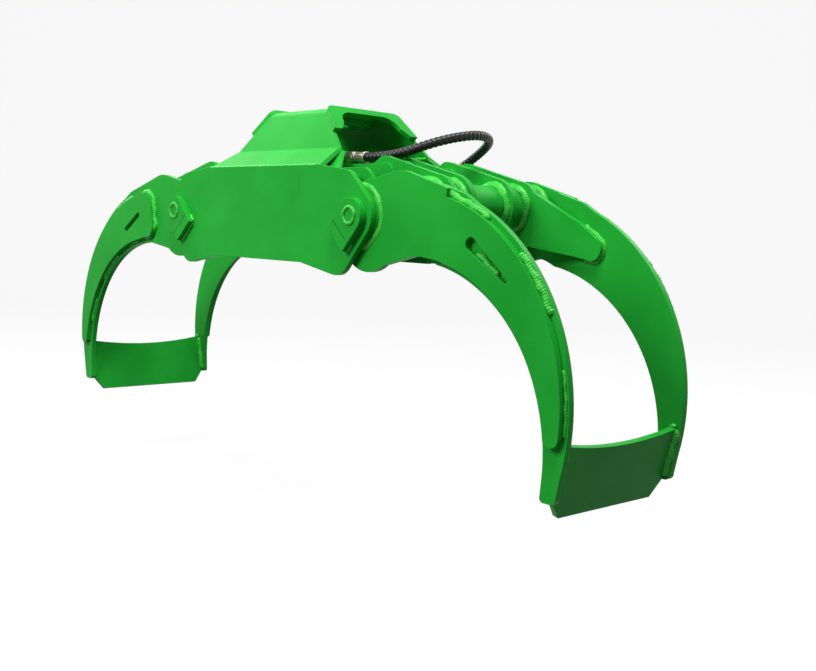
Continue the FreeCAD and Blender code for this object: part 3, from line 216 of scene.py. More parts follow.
def weld_seam(path, radius, lift, closed=False, seed=0.0, flatness=0.85):
    """A weld seam: an ellipse carried along the path, lift being the way out of the corner.

    Its half width is radius * (1 + ripple + wander + lumps).  The ripple is a cosine of the
    distance along the seam, pulled back at the crown so that it forms crescents; the wander is a
    sum of two slow sines, and the lumps are a sine along the seam times one round it.  The middle
    line strays sideways by a slow sine.  An open seam ends in a quarter ellipse.
    """
    sizes = bpy.context.scene.grapple_sizes
    path = np.asarray(path, float)
    lift = np.asarray(lift, float) * np.ones_like(path)
    spread, run = resample(path, sizes.ripple / 4, closed, lift)
    points, lift = spread[:, :3], spread[:, 3:]
    along = tangents(points, closed)
    lift = lift - (lift * along).sum(1, keepdims=True) * along
    lift = lift / np.linalg.norm(lift, axis=1, keepdims=True)
    aside = np.cross(along, lift)
    angle = full_turn(sizes.facets)
    crown = np.cos(angle)[None, :]
    phase = run[:, None] / sizes.ripple - CRESCENT * crown ** 2
    if closed:
        total = run[-1] + run[1]
        turns = max(round(total / sizes.ripple), 1)
        phase = run[:, None] / total * turns - CRESCENT * crown ** 2
        slow = 2 * np.pi * run / total
    else:
        slow = run / WAVER
    wander = 0.09 * np.sin(3 * slow + seed) + 0.06 * np.sin(7 * slow + 2 * seed)
    lumps = 0.08 * np.sin(11 * slow[:, None] + 3 * angle + seed)
    ripple = 0.2 * (0.5 + 0.5 * np.cos(2 * np.pi * phase)) - 0.08
    half = radius * (1 + ripple + wander[:, None] + lumps)
    points = points + aside * (radius * 0.14 * np.sin(5 * slow + 1.7 * seed))[:, None]
    if not closed:
        near = np.minimum(run, run[-1] - run) / (1.4 * radius)
        half = half * np.sqrt(np.clip(1 - (1 - np.clip(near, 0, 1)) ** 2, 0.02, 1))[:, None]
    rings = (points[:, None, :]
             + (half * crown)[..., None] * lift[:, None, :] * flatness
             + (half * np.sin(angle)[None, :])[..., None] * aside[:, None, :])
    return closed_surface(rings, closed)


def turned(profile, around, origin, axis, shape=None):
    """A lathe surface: each profile row (distance, radius) becomes a ring about the axis.

    The radius may depend on the angle through shape(distance, radius, angle).
    """
    profile = np.asarray(profile, float)
    angle = full_turn(around)
    distance = profile[:, :1]
    radius = profile[:, 1:2] * np.ones((1, around))
    if shape is not None:
        radius = shape(distance, radius, angle[None, :])
    axis = np.asarray(axis, float) / np.linalg.norm(axis)
    across = np.cross(axis, (0, 1, 0))
    across = across / np.linalg.norm(across)
    third = np.cross(axis, across)
    rings = (np.asarray(origin, float) + distance[..., None] * axis
             + (radius * np.cos(angle))[..., None] * across
             + (radius * np.sin(angle))[..., None] * third)
    return closed_surface(rings, False)


# ---------------------------------------------------------------------------------------------
# Places on the jaws, in millimetres outboard and up of the pivot axis, for either side
# ---------------------------------------------------------------------------------------------

def pivot_of(side):
    """The pivot axis of a jaw, from the middle of its two pins."""
    low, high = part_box("pivot_pin_%s_front" % ("right" if side > 0 else "left"))
    return (low.x + high.x) / 2, (low.z + high.z) / 2


def on_jaw(side, outboard, up, y):
    """Points of a jaw in metres, from its own coordinates in millimetres."""
    pivot_x, pivot_z = pivot_of(side)
    outboard, up = np.broadcast_arrays(np.asarray(outboard, float), np.asarray(up, float))
    return np.stack([pivot_x + side * outboard * MM, np.full(outboard.shape, y * MM),
                     pivot_z + up * MM], -1)


def on_arc(centre, radius, start, end, count=60):
    """Outboard and up of points on a circle between two angles in degrees."""
    angle = np.radians(np.linspace(start, end, count))
    return centre[0] + radius * np.cos(angle), centre[1] + radius * np.sin(angle)


# Centres of the arcs of a tine's back and mouth, and the radii of the doubled plates' edges.
TINE_BACK = (177, -398)
TINE_MOUTH = (187, -497)
BACK_EDGE = {1: 458, -1: 450}
MOUTH_EDGE = 410
# The tine's own mouth edge stands this far behind that of the plate that doubles it.
MOUTH_STEP = 12
TUBE = (153, 35)
TUBE_RADIUS = 51
BRACE_END = (372, -56)
BRACE_END_RADIUS = 31
# Faces of the jaws' plates, from the grapple's middle plane: root plate, then blade.
ROOT_FACE = 226
ROOT_BACK = 211
BLADE_BACK = 196
# Both faces of the inner and outer levers, each with the way out of the plate.
LEVER_FACES = ((62.5, -1), (77.5, 1), (134.5, -1), (149.5, 1))
# The heels of the right blades, from the root plate's edge to the tine's own, and their top.
HEEL_START = 198
HEEL_END = 250.5
HEEL_TOP = -64.0
# The corner of grip plate and tine, from its foot to its head: outboard, then up.
GRIP_CORNER = ((606, 634), (-564, -453))
# The edge of the left doublers' crown, which is welded to the tine along its whole length.
DOUBLER_CROWN = ((246, 222, 208, 196, 181, 176, 174, 171, 166, 174, 190, 206, 222),
                 (47, 52, 54, 46, 32, 20, 0, -24, -46, -60, -73, -84, -88))


def tapered_plate(low, high, near, far):
    """Points and faces of a plate between two curves of the plane y = near, carried to y = far:
    each ring is the four corners (low, near), (low, far), (high, far), (high, near)."""
    near_low, near_high = low.copy(), high.copy()
    far_low, far_high = low.copy(), high.copy()
    near_low[:, 1] = near_high[:, 1] = near
    far_low[:, 1] = far_high[:, 1] = far
    return closed_surface(np.stack([near_low, far_low, far_high, near_high], 1), False)


def blade_heels():
    """The tapered heels of the right tines' inner plates: their lower edge leaves the root
    plate's concave edge and runs into the tine's own, by the distance to the power 1.5."""
    x = np.linspace(HEEL_START, HEEL_END, 24)
    share = ((x - HEEL_START) / (HEEL_END - HEEL_START)) ** 1.5
    edge = TINE_MOUTH[1] + np.sqrt(MOUTH_EDGE ** 2 - (x - TINE_MOUTH[0]) ** 2) + 0.2
    own = TINE_MOUTH[1] + np.sqrt((MOUTH_EDGE - MOUTH_STEP) ** 2 - (x - TINE_MOUTH[0]) ** 2)
    low = edge + (own - edge) * share
    parts = []
    for row in ROWS:
        bottom = on_jaw(1, x, low, row * BLADE_BACK)
        top = on_jaw(1, x, np.full(len(x), HEEL_TOP), row * BLADE_BACK)
        parts.append(tapered_plate(bottom, top, row * (BLADE_BACK + 0.2) * MM,
                                   row * (ROOT_BACK - 0.1) * MM))
    return parts


def ring_path(centre, radius, count=72):
    """Outboard and up of the points of a whole circle."""
    return on_arc(centre, radius, 0, 360 * (1 - 1 / count), count)


def jaw_seams(side):
    """All weld seams of one jaw."""
    sizes = bpy.context.scene.grapple_sizes
    heavy, light = sizes.fillet, sizes.light_fillet
    doubled = ROOT_BACK if side > 0 else ROOT_FACE
    inner = BLADE_BACK if side > 0 else ROOT_BACK
    parts = []
    for row in ROWS:
        def seam(flat_path, y, radius, lift, flatness=0.85):
            """An open seam, lifted outboard, away from the middle plane and up."""
            lift = np.array([side * lift[0], row * lift[1], lift[2]])
            path = on_jaw(side, flat_path[0], flat_path[1], row * y)
            parts.append(weld_seam(path, radius, lift, seed=0.7 * len(parts),
                                   flatness=flatness))

        def rim(centre, radius, y, size, towards, flatness=0.85):
            """A ring seam round a boss or tube, lifted outwards and towards the open side."""
            flat = ring_path(centre, radius)
            path = on_jaw(side, flat[0], flat[1], row * y)
            hub = on_jaw(side, centre[0], centre[1], row * y)
            lift = (path - hub) / (radius * MM) + np.array([0, row * towards, 0])
            parts.append(weld_seam(path, size, lift, True, seed=0.9 * len(parts),
                                   flatness=flatness))

        # Doubled plates: long seams on the tine's back, short ones in its mouth.
        for start, end, radius in ((73.5, 60, heavy * 1.35), (46, 27, heavy * 1.35),
                                   (13, -4, light)):
            x, z = on_arc(TINE_BACK, BACK_EDGE[side] + 4, min(start, 73 if side < 0 else 90), end)
            if side > 0 and start > 70:
                # The first one comes out of the step in the root plate's upper edge.
                x, z = np.concatenate([[274, 288], x]), np.concatenate([[58, 56], z])
            seam((x, z), doubled + 1, radius, (0.35, 1, 0.35), flatness=0.8)
        for start, end in ((79, 72), (59, 41), (29, 17)):
            seam(on_arc(TINE_MOUTH, MOUTH_EDGE - 2, start, end), doubled + 2, light, (-0.5, 1, -0.5))
        # Pivot boss, outside under the side plate and inside.
        rim((0, 0), 74, ROOT_FACE + 0.3, heavy * 1.3, 3, 0.4)
        rim((0, 0), 70, ROOT_BACK - 1, light * 1.2, -0.8)
        # Torsion tube at every plate that it passes.
        for y, towards in (*LEVER_FACES, (ROOT_BACK, -1)):
            rim(TUBE, TUBE_RADIUS + 5.5, y + 5 * towards, sizes.tube_fillet, towards, 0.45)
        # End of the brace on the tine's inner face.
        end_x, end_z = on_arc(BRACE_END, BRACE_END_RADIUS, 55, -86, 24)
        seam((np.concatenate([[342], end_x, [344]]), np.concatenate([[0], end_z, [-83]])),
             inner - 1, heavy, (0.6, -1, 0), flatness=0.7)
        # Grip plate between the tines.
        for shift, way in ((3, 1), (-18, -1)):
            seam((np.add(GRIP_CORNER[0], shift), GRIP_CORNER[1]), inner - 3, heavy * 1.8,
                 (0.8 * way, -1, 0), flatness=0.4)
        seam(((617, 634), (-446, -446)), inner - 4, heavy * 1.2, (0, -0.4, 1))
        if side > 0:
            # In the root plate's slot, where the blade shows.
            seam(((378, 404, 444), (-72, -88, -117)), ROOT_BACK + 4, heavy * 1.25, (0.3, 1, 0.4),
                 flatness=0.8)
        else:
            seam(DOUBLER_CROWN, doubled + 2, heavy * 1.4, (-0.8, 1, 0))
    return parts


# The keeper plates: their lean in degrees, their thickness, and the way along and across them.
KEEPER_LEAN = math.radians(48)
KEEPER = 18
KEEPER_ALONG = np.array([-math.cos(KEEPER_LEAN), -math.sin(KEEPER_LEAN)])
KEEPER_ACROSS = np.array([math.sin(KEEPER_LEAN), -math.cos(KEEPER_LEAN)])
PIN_SEAM_RADIUS = 20
# The stop block's two flanks and far end: start, finish and lift, each along and across.
STOP_BLOCK_SEAMS = (((52, 43), (77, 43), (0, 1)), ((52, -43), (77, -43), (0, -1)),
                    ((80, -38), (80, 38), (1, 0)))
# The box beams: half length of the straps' seams, their levels and edges, with the way out.
STRAP_REACH = 240
STRAP_LEVELS = ((-391, -1), (-161, 1))
STRAP_EDGES = ((229, -1), (202, 1))
SKIRT_FACE = 240.5
# Seams of the hood on the inner plates: half length, distance from the middle, level, lean.
HOOD_SEAMS = ((268, 189, -161, 1), (222, 147, -114, 0.6))
CROSS_TUBE = (130, -354)
CROSS_TUBE_RADIUS = 32
CHEEK_SEAM = 188.0
ROTATOR_PLATE_RADIUS = 109
ROTATOR_PLATE_EDGE = -12.0


def side_face():
    """How far the outer faces of the side plates stand from the middle, in millimetres."""
    low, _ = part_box("side_plate_front")
    return -low.y / MM


def frame_seams():
    """All weld seams of the frame."""
    light = bpy.context.scene.grapple_sizes.light_fillet
    face = side_face()
    hood_low, hood_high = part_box("hood")
    parts = []

    def line(points, radius, lift, closed=False):
        parts.append(weld_seam(np.array(points, float) * MM, radius, lift, closed,
                               seed=1.1 * len(parts)))

    for row in ROWS:
        for side in SIDES:
            # The seam round the end of each pin, on its keeper plate.
            flat = ring_path((0, 0), PIN_SEAM_RADIUS)
            path = on_jaw(side, flat[0], flat[1], row * (face + KEEPER))
            parts.append(weld_seam(path, light * 1.15, (0, row, 0), True, seed=side + row))
            # The stop block, along its flanks and its far end.
            for start, end, out in STOP_BLOCK_SEAMS:
                near = KEEPER_ALONG * start[0] + KEEPER_ACROSS * start[1]
                far = KEEPER_ALONG * end[0] + KEEPER_ACROSS * end[1]
                lift = KEEPER_ALONG * out[0] + KEEPER_ACROSS * out[1]
                path = on_jaw(side, np.array([near[0], far[0]]), np.array([near[1], far[1]]),
                              row * (face + 2))
                parts.append(weld_seam(path, light * 1.2, (side * lift[0], row * 0.8, lift[1]),
                                       seed=3 * side + row))
        # Hood skirt on the side plate.
        foot = hood_low.z / MM
        reach = hood_high.x / MM - 4
        line(((-reach, row * SKIRT_FACE, foot + 1), (reach, row * SKIRT_FACE, foot + 1)),
             light * 0.7, (0, row, 1))
        # Straps above and below the beams.
        for level, lift in STRAP_LEVELS:
            for edge, lean in STRAP_EDGES:
                line(((-STRAP_REACH, row * edge, level), (STRAP_REACH, row * edge, level)), light,
                     (0, row * lean, lift))
        # Between the hood's bends and the inner plates.
        for reach, edge, level, lean in HOOD_SEAMS:
            line(((-reach, row * edge, level), (reach, row * edge, level)), light,
                 (0, -row, lean))
        # Cross tubes between the inner plates.
        for side in SIDES:
            angle = full_turn(48)
            path = np.stack([CROSS_TUBE[0] * side + CROSS_TUBE_RADIUS * np.cos(angle),
                             np.full(48, row * CHEEK_SEAM),
                             CROSS_TUBE[1] + CROSS_TUBE_RADIUS * np.sin(angle)], -1)
            lift = np.stack([np.cos(angle), np.full(48, -row * 0.8), np.sin(angle)], -1)
            line(path, light, lift, True)
    # The round plate under the hood's top.
    angle = full_turn(96)
    ring = np.stack([ROTATOR_PLATE_RADIUS * np.cos(angle), ROTATOR_PLATE_RADIUS * np.sin(angle),
                     np.full(96, ROTATOR_PLATE_EDGE)], -1)
    line(ring, light, (0, 0, -1), True)
    # End plates inside the hood's edges.
    for side in SIDES:
        for row in ROWS:
            line(((side * 128, row * 116, -15), (side * 174, row * 132, -61)), light * 0.8,
                 (-side * 0.6, -row, -0.6))
    return parts


# The cylinders: distance from the middle and level of their axes, and where the seams run.
CYLINDER_OFFSET = 106
CYLINDER_LEVEL = -180
BARREL_RADIUS = 57.5
BARREL_END = 143.0
LUG_END = 187
LUG_HALF_WIDTH = 29
LUG_HALF_HEIGHT = 32
ROD_RADIUS = 29
ROD_END = -340.0


def barrel_seams():
    """Seams between each barrel's closed end and its lug."""
    light = bpy.context.scene.grapple_sizes.light_fillet
    parts = []
    for row in ROWS:
        y = float(CYLINDER_OFFSET * row)
        corners = [(LUG_END, y + LUG_HALF_WIDTH * across, CYLINDER_LEVEL + LUG_HALF_HEIGHT * up)
                   for across, up in ((-1, -1), (1, -1), (1, 1), (-1, 1))]
        parts.append(weld_seam(np.array(corners) * MM, light, (1, 0, 0), True, seed=row))
        angle = full_turn(60)
        ring = np.stack([np.full(60, BARREL_END), y + BARREL_RADIUS * np.cos(angle),
                         CYLINDER_LEVEL + BARREL_RADIUS * np.sin(angle)], -1)
        lift = np.stack([np.zeros(60), np.cos(angle), np.sin(angle)], -1)
        parts.append(weld_seam(ring * MM, light * 0.8, lift, True, seed=row, flatness=0.5))
    return parts


def rod_seams():
    """Seams between each piston rod and its eye."""
    light = bpy.context.scene.grapple_sizes.light_fillet
    parts = []
    for row in ROWS:
        angle = full_turn(48)
        ring = np.stack([np.full(48, ROD_END), row * CYLINDER_OFFSET + ROD_RADIUS * np.cos(angle),
                         CYLINDER_LEVEL + ROD_RADIUS * np.sin(angle)], -1) * MM
        parts.append(weld_seam(ring, light, (1, 0, 0), True, seed=row))
    return parts


# ---------------------------------------------------------------------------------------------
# Materials
# ---------------------------------------------------------------------------------------------

def add(tree, kind, sockets=None, **settings):
    """Adds a node, sets its properties, and fills or links its inputs."""
    node = tree.nodes.new("ShaderNode" + kind)
    for name, value in settings.items():
        setattr(node, name, value)
    for name, value in (sockets or {}).items():
        if isinstance(value, bpy.types.NodeSocket):
            tree.links.new(value, node.inputs[name])
        else:
            node.inputs[name].default_value = value
    return node


def new_material(name, **values):
    """A material with a Principled shader whose plain sockets take the given values."""
    material = bpy.data.materials.new(name)
    material.use_nodes = True
    tree = material.node_tree
    tree.nodes.clear()
    shader = add(tree, "BsdfPrincipled", values)
    output = add(tree, "OutputMaterial")
    tree.links.new(shader.outputs["BSDF"], output.inputs["Surface"])
    material.diffuse_color = tuple(values.get("Base Color", (0.5, 0.5, 0.5, 1)))
    return material, tree, shader


def rgba(colour):
    """A linear colour with full cover, as the colour sockets take it."""
    return (*colour[:3], 1.0)


def enamel(name, plain, edge_pale_and_highlight, deep_tone_and_glint, roughness, rough_spray, specular, grain=9 * MM, cloud=250 * MM):
    """Two-pack machine enamel sprayed over blasted plate: an even gloss with a faint orange peel, a
    little thinner and paler on edges, with a painted highlight there too, thicker and deeper in broad
    clouds.  On the welds the cloud colour is pale instead: painted glints that stand in for highlights
    off the ripples."""
    sizes = bpy.context.scene.grapple_sizes
    material, tree, shader = new_material(
        name, **{"Base Color": rgba(plain), "Roughness": roughness, "IOR": 1.38,
                 "Specular IOR Level": specular})
    place = add(tree, "TexCoord")
    clouds = add(tree, "TexNoise", {"Vector": place.outputs["Object"], "Scale": 1 / cloud,
                                    "Detail": 3.0, "Roughness": 0.55})
    spread = add(tree, "MapRange", {"Value": clouds.outputs["Fac"], "From Min": 0.35,
                                    "From Max": 0.65})
    thick_tone_and_glint = add(tree, "Mix", {0: spread.outputs["Result"], 6: rgba(deep_tone_and_glint), 7: rgba(plain)},
                data_type="RGBA")
    # Paler on sharp edges, where the rounded normal leaves the flat one: paint drawn back from the edge,
    # and a painted highlight along it.
    rounded = add(tree, "Bevel", {"Radius": sizes.edge}, samples=4)
    true = add(tree, "NewGeometry")
    turn = add(tree, "VectorMath", {0: rounded.outputs["Normal"], 1: true.outputs["Normal"]},
               operation="DOT_PRODUCT")
    thin_paint_and_edge_highlight = add(tree, "MapRange", {"Value": turn.outputs["Value"], "From Min": 0.99,
                                  "From Max": 0.8, "To Max": 0.75})
    colour = add(tree, "Mix", {0: thin_paint_and_edge_highlight.outputs["Result"], 6: thick_tone_and_glint.outputs[2], 7: rgba(edge_pale_and_highlight)},
                 data_type="RGBA")
    tree.links.new(colour.outputs[2], shader.inputs["Base Color"])
    # Orange peel is about 2.5 mm in life; it is drawn coarser so that it shows on a large part.
    peel = add(tree, "TexNoise", {"Vector": place.outputs["Object"], "Scale": 1 / grain,
                                  "Detail": 2.0, "Roughness": 0.5})
    bump = add(tree, "Bump", {"Height": peel.outputs["Fac"], "Strength": rough_spray,
                              "Distance": grain / 15, "Normal": rounded.outputs["Normal"]})
    tree.links.new(bump.outputs["Normal"], shader.inputs["Normal"])
    dull = add(tree, "MapRange", {"Value": peel.outputs["Fac"], "To Min": roughness - 0.06,
                                  "To Max": roughness + 0.1})
    tree.links.new(dull.outputs["Result"], shader.inputs["Roughness"])
    return material


def turned_metal(name, colour, roughness, grain, axis_scale):
    """Bright metal from the lathe or grinder: fine rings across the axis that blur the
    reflection along it.  The ring spacing is grain, stretched round the axis."""
    material, tree, shader = new_material(
        name, **{"Base Color": rgba(colour), "Metallic": 1.0, "Roughness": roughness})
    place = add(tree, "TexCoord")
    stretch = add(tree, "Mapping", {"Vector": place.outputs["Object"], "Scale": axis_scale})
    lines = add(tree, "TexNoise", {"Vector": stretch.outputs["Vector"], "Scale": 1 / grain,
                                   "Detail": 2.0})
    bump = add(tree, "Bump", {"Height": lines.outputs["Fac"], "Strength": 0.25,
                              "Distance": 0.1 * MM})
    tree.links.new(bump.outputs["Normal"], shader.inputs["Normal"])
    dull = add(tree, "MapRange", {"Value": lines.outputs["Fac"], "To Min": roughness * 0.8,
                                  "To Max": roughness * 1.3})
    tree.links.new(dull.outputs["Result"], shader.inputs["Roughness"])
    return material


def plated_steel(name, colour):
    """Zinc with a yellow passivate: a soft metal gloss, clouded in patches about 8 mm across."""
    material, tree, shader = new_material(
        name, **{"Base Color": rgba(colour), "Metallic": 1.0, "Roughness": 0.38})
    place = add(tree, "TexCoord")
    patches = add(tree, "TexNoise", {"Vector": place.outputs["Object"], "Scale": 1 / (8 * MM),
                                     "Detail": 3.0})
    stain = add(tree, "Mix", {0: patches.outputs["Fac"], 6: rgba([c * 0.7 for c in colour]),
                              7: rgba([min(1, c * 1.2) for c in colour])}, data_type="RGBA")
    tree.links.new(stain.outputs[2], shader.inputs["Base Color"])
    rounded = add(tree, "Bevel", {"Radius": 0.6 * MM}, samples=4)
    tree.links.new(rounded.outputs["Normal"], shader.inputs["Normal"])
    return material


def hose_polythene(name, colour):
    """Extruded black polythene: a dark body with a soft waxy gloss and faint scuffs."""
    material, tree, shader = new_material(
        name, **{"Base Color": rgba(colour), "Roughness": 0.35, "IOR": 1.51,
                 "Specular IOR Level": 0.3})
    place = add(tree, "TexCoord")
    scuffs = add(tree, "TexNoise", {"Vector": place.outputs["Object"], "Scale": 1 / (5 * MM),
                                    "Detail": 4.0, "Roughness": 0.7})
    dull = add(tree, "MapRange", {"Value": scuffs.outputs["Fac"], "From Min": 0.4,
                                  "From Max": 0.7, "To Min": 0.24, "To Max": 0.5})
    tree.links.new(dull.outputs["Result"], shader.inputs["Roughness"])
    wear = add(tree, "MapRange", {"Value": scuffs.outputs["Fac"], "From Min": 0.6,
                                  "From Max": 0.8, "To Max": 0.35})
    grey = add(tree, "Mix", {0: wear.outputs["Result"], 6: rgba(colour),
                             7: rgba(linear("1C1C1F"))}, data_type="RGBA")
    tree.links.new(grey.outputs[2], shader.inputs["Base Color"])
    return material


def seen_rays(tree):
    """1 for the rays that carry a picture: to the camera, off a shine or through glass."""
    ray = add(tree, "LightPath")
    seen = add(tree, "Math", {0: ray.outputs["Is Camera Ray"], 1: ray.outputs["Is Glossy Ray"]},
               operation="MAXIMUM")
    return add(tree, "Math", {0: seen.outputs["Value"], 1: ray.outputs["Is Transmission Ray"]},
               operation="MAXIMUM")


PAPER_OWN_WHITE = 0.92
PAPER_BOUNCE = "646464"


def studio_paper(name, colour):
    """Matt white paper: where it is seen it is mostly its own white, so that only a faint part
    of the object's shadow shows on it."""
    material = bpy.data.materials.new(name)
    material.use_nodes = True
    tree = material.node_tree
    tree.nodes.clear()
    clear = seen_rays(tree)
    # The light that the paper throws back on the object is that of a grey sheet.
    tone = add(tree, "Mix", {0: clear.outputs["Value"], 6: rgba(linear(PAPER_BOUNCE)),
                             7: rgba(colour)}, data_type="RGBA")
    matt = add(tree, "BsdfDiffuse", {"Color": tone.outputs[2]})
    white = add(tree, "Emission", {"Color": (1, 1, 1, 1), "Strength": 1.0})
    share = add(tree, "Math", {0: clear.outputs["Value"], 1: PAPER_OWN_WHITE},
                operation="MULTIPLY")
    mix = add(tree, "MixShader", {0: share.outputs["Value"], 1: matt.outputs["BSDF"],
                                  2: white.outputs["Emission"]})
    output = add(tree, "OutputMaterial")
    tree.links.new(mix.outputs["Shader"], output.inputs["Surface"])
    return material


def finishes():
    """All materials by their names, made once."""
    colours = bpy.context.scene.grapple_colours
    if "green_enamel_on_plate" not in bpy.data.materials:
        enamel("green_enamel_on_plate", colours.enamel, colours.enamel_edge_pale_and_highlight, colours.enamel_deep,
               0.36, 0.3, 0.1)
        # On the welds the cloud colour is the pale painted glint.
        enamel("green_enamel_on_weld", colours.seam, colours.enamel_edge_pale_and_highlight, colours.seam_painted_glint, 0.26,
               0.9, 0.32, 5 * MM, 14 * MM)
        # Painted shade for the narrow gaps.
        enamel("painted_shade_in_gap", colours.gap, colours.gap, colours.gap, 0.6, 0.2, 0.1)
        hose_polythene("black_polythene_guard", colours.guard)
        plated_steel("zinc_plated_steel", colours.zinc)
        turned_metal("hard_chrome_ground", colours.chrome, 0.12, 1.5 * MM, (1, 0.05, 0.05))
        turned_metal("steel_turned", colours.steel, 0.34, 2 * MM, (1, 0.05, 0.05))
        turned_metal("bronze_bored", colours.bronze, 0.4, 2 * MM, (0.05, 1, 0.05))
    return bpy.data.materials


# The finish of each material slot. The pins show only their painted ends.
SLOT_FINISH = {
    "green_paint": "green_enamel_on_plate",
    "hose_rubber": "black_polythene_guard",
    "zinc_plating": "zinc_plated_steel",
    "chrome_rod": "hard_chrome_ground",
    "machined_steel": "steel_turned",
    "bronze": "bronze_bored",
    "pin_steel": "green_enamel_on_plate",
}


# ---------------------------------------------------------------------------------------------
# Operators
# ---------------------------------------------------------------------------------------------

class PaintSteel(bpy.types.Operator):
    """Gives every CAD piece the finish of its material slot"""
    bl_idname = "grapple.paint_steel"
    bl_label = "Paint the steel"

    def execute(self, context):
        made = finishes()
        for sub in frame["record"]["subparts"]:
            piece = frame["nodes"][sub["node"]]
            finish = made[SLOT_FINISH[sub["material_slot"]]]
            for index in range(max(len(piece.material_slots), 1)):
                if index < len(piece.material_slots):
                    piece.material_slots[index].material = finish
                else:
                    piece.data.materials.append(finish)
        return {"FINISHED"}


class WeldFrame(bpy.types.Operator):
    """Lays the weld seams of hood, beams, keeper plates and cross tubes"""
    bl_idname = "grapple.weld_frame"
    bl_label = "Weld the frame"

    def execute(self, context):
        seam = finishes()["green_enamel_on_weld"]
        make_piece("frame_weld_seams", frame_seams(), seam, "frame")
        return {"FINISHED"}


# The gap between keeper plate and stop block: distance from the pin, half length and width.
KEEPER_GAP = 50
KEEPER_GAP_REACH = 41.5
KEEPER_GAP_WIDTH = 1.8 * MM


class ScribeKeepers(bpy.types.Operator):
    """Lays dark strips of painted shade along the narrow gaps between the pins' keeper plates and their
    stop blocks
    """
    bl_idname = "grapple.scribe_keepers"
    bl_label = "Scribe the keepers' gaps"

    def execute(self, context):
        # Painted shade: a dark strip along each gap.
        shade_paint = finishes()["painted_shade_in_gap"]
        parts = []
        for row in ROWS:
            for side in SIDES:
                across = np.linspace(-KEEPER_GAP_REACH, KEEPER_GAP_REACH, 3)[:, None]
                flat = KEEPER_ALONG * KEEPER_GAP + KEEPER_ACROSS * across
                path = on_jaw(side, flat[:, 0], flat[:, 1], row * (side_face() + KEEPER - 0.3))
                parts.append(weld_seam(path, KEEPER_GAP_WIDTH / 2, (0, row, 0), flatness=0.7))
        make_piece("keeper_gap_painted_shade", parts, shade_paint, "frame")
        return {"FINISHED"}


class WeldJaws(bpy.types.Operator):
    """Lays the weld seams of both jaws and the heels of the right tines' inner plates"""
    bl_idname = "grapple.weld_jaws"
    bl_label = "Weld the jaws"

    def execute(self, context):
        seam = finishes()["green_enamel_on_weld"]
        make_piece("right_jaw_weld_seams", jaw_seams(1), seam, "jaw_right")
        make_piece("left_jaw_weld_seams", jaw_seams(-1), seam, "jaw_left")
        make_piece("right_blade_heels", blade_heels(), finishes()["green_enamel_on_plate"],
                   "jaw_right", flat=True)
        return {"FINISHED"}


class WeldCylinders(bpy.types.Operator):
    """Lays the weld seams of barrels and rod eyes"""
    bl_idname = "grapple.weld_cylinders"
    bl_label = "Weld the cylinders"

    def execute(self, context):
        seam = finishes()["green_enamel_on_weld"]
        make_piece("barrel_weld_seams", barrel_seams(), seam, "barrels")
        make_piece("rod_eye_weld_seams", rod_seams(), seam, "rods")
        return {"FINISHED"}


NUT_WIDTH = 30
# Where each fitting starts, and the way that it points.
FITTING_ENDS = {
    "hose_fitting_front": ((185, -106, -130), (1, 0, 0)),
    "hose_fitting_rear": ((273.2, 169, -173), (math.cos(math.radians(28)), 0,
                                               math.sin(math.radians(28)))),
}


# The fitting's outline from its foot on, as distance and radius: nipple, nut, collar, ferrule.
FITTING_PROFILE = (
    (0, 10), (19.9, 10),
    (20, 14.9), (20.6, 15), (21.5, 15), (23, 15), (41, 15), (42.5, 15), (43.4, 15), (44, 14.9),
    (44.1, 12.6), (45, 12.6), (45.2, 14), (46, 14.6), (50, 14.6), (50.8, 14),
    (52, 13.9), (53, 14.5), (60, 14.5), (74, 14.5), (81, 14.5), (82.2, 13.9), (83.4, 14.1),
    (84.2, 14.8), (87.2, 14.8), (88, 14.2), (88.1, 12.2))


def fitting_shape(distance, radius, angle):
    """Radius over distance and angle: a hexagon with both ends chamfered on the swivel nut, and
    eight pressed flats on the ferrule."""
    half = NUT_WIDTH / 2 * MM
    sector = (angle + np.pi / 6) % (np.pi / 3) - np.pi / 6
    hexagon = half / np.cos(sector)
    start, end = 20 * MM, 44 * MM
    cone = half * 0.98 + np.minimum(distance - start, end - distance) * 1.6
    nut = np.minimum(hexagon, cone)
    on_nut = (distance >= start) & (distance <= end) & (radius > 14 * MM)
    pressed = (distance > 52 * MM) & (distance < 82 * MM) & (radius > 13 * MM)
    flats = radius - 0.7 * MM * (0.5 + 0.5 * np.cos(8 * angle)) ** 2
    return np.where(on_nut, nut, np.where(pressed, flats, radius))


class MakeFittings(bpy.types.Operator):
    """Turns the two hose fittings, each with nipple, swivel nut and crimped ferrule"""
    bl_idname = "grapple.make_fittings"
    bl_label = "Make the hose fittings"

    def execute(self, context):
        zinc = finishes()["zinc_plated_steel"]
        for name, (origin, axis) in FITTING_ENDS.items():
            parts = [turned(np.array(FITTING_PROFILE) * MM, 48, np.array(origin) * MM, axis,
                            fitting_shape)]
            piece = make_piece(name + "_turned", parts, zinc, "barrels",
                               flat=True)
            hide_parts(name)
        return {"FINISHED"}


# The middle line of the hose, from the front fitting over the right levers to the rear one.
HOSE_ROUTE = ((273, -106, -130), (378, -106, -130), (474, -58, -92), (509, 34, -69),
              (489, 116, -69), (426, 169, -91.8), (350.9, 169, -131.7))


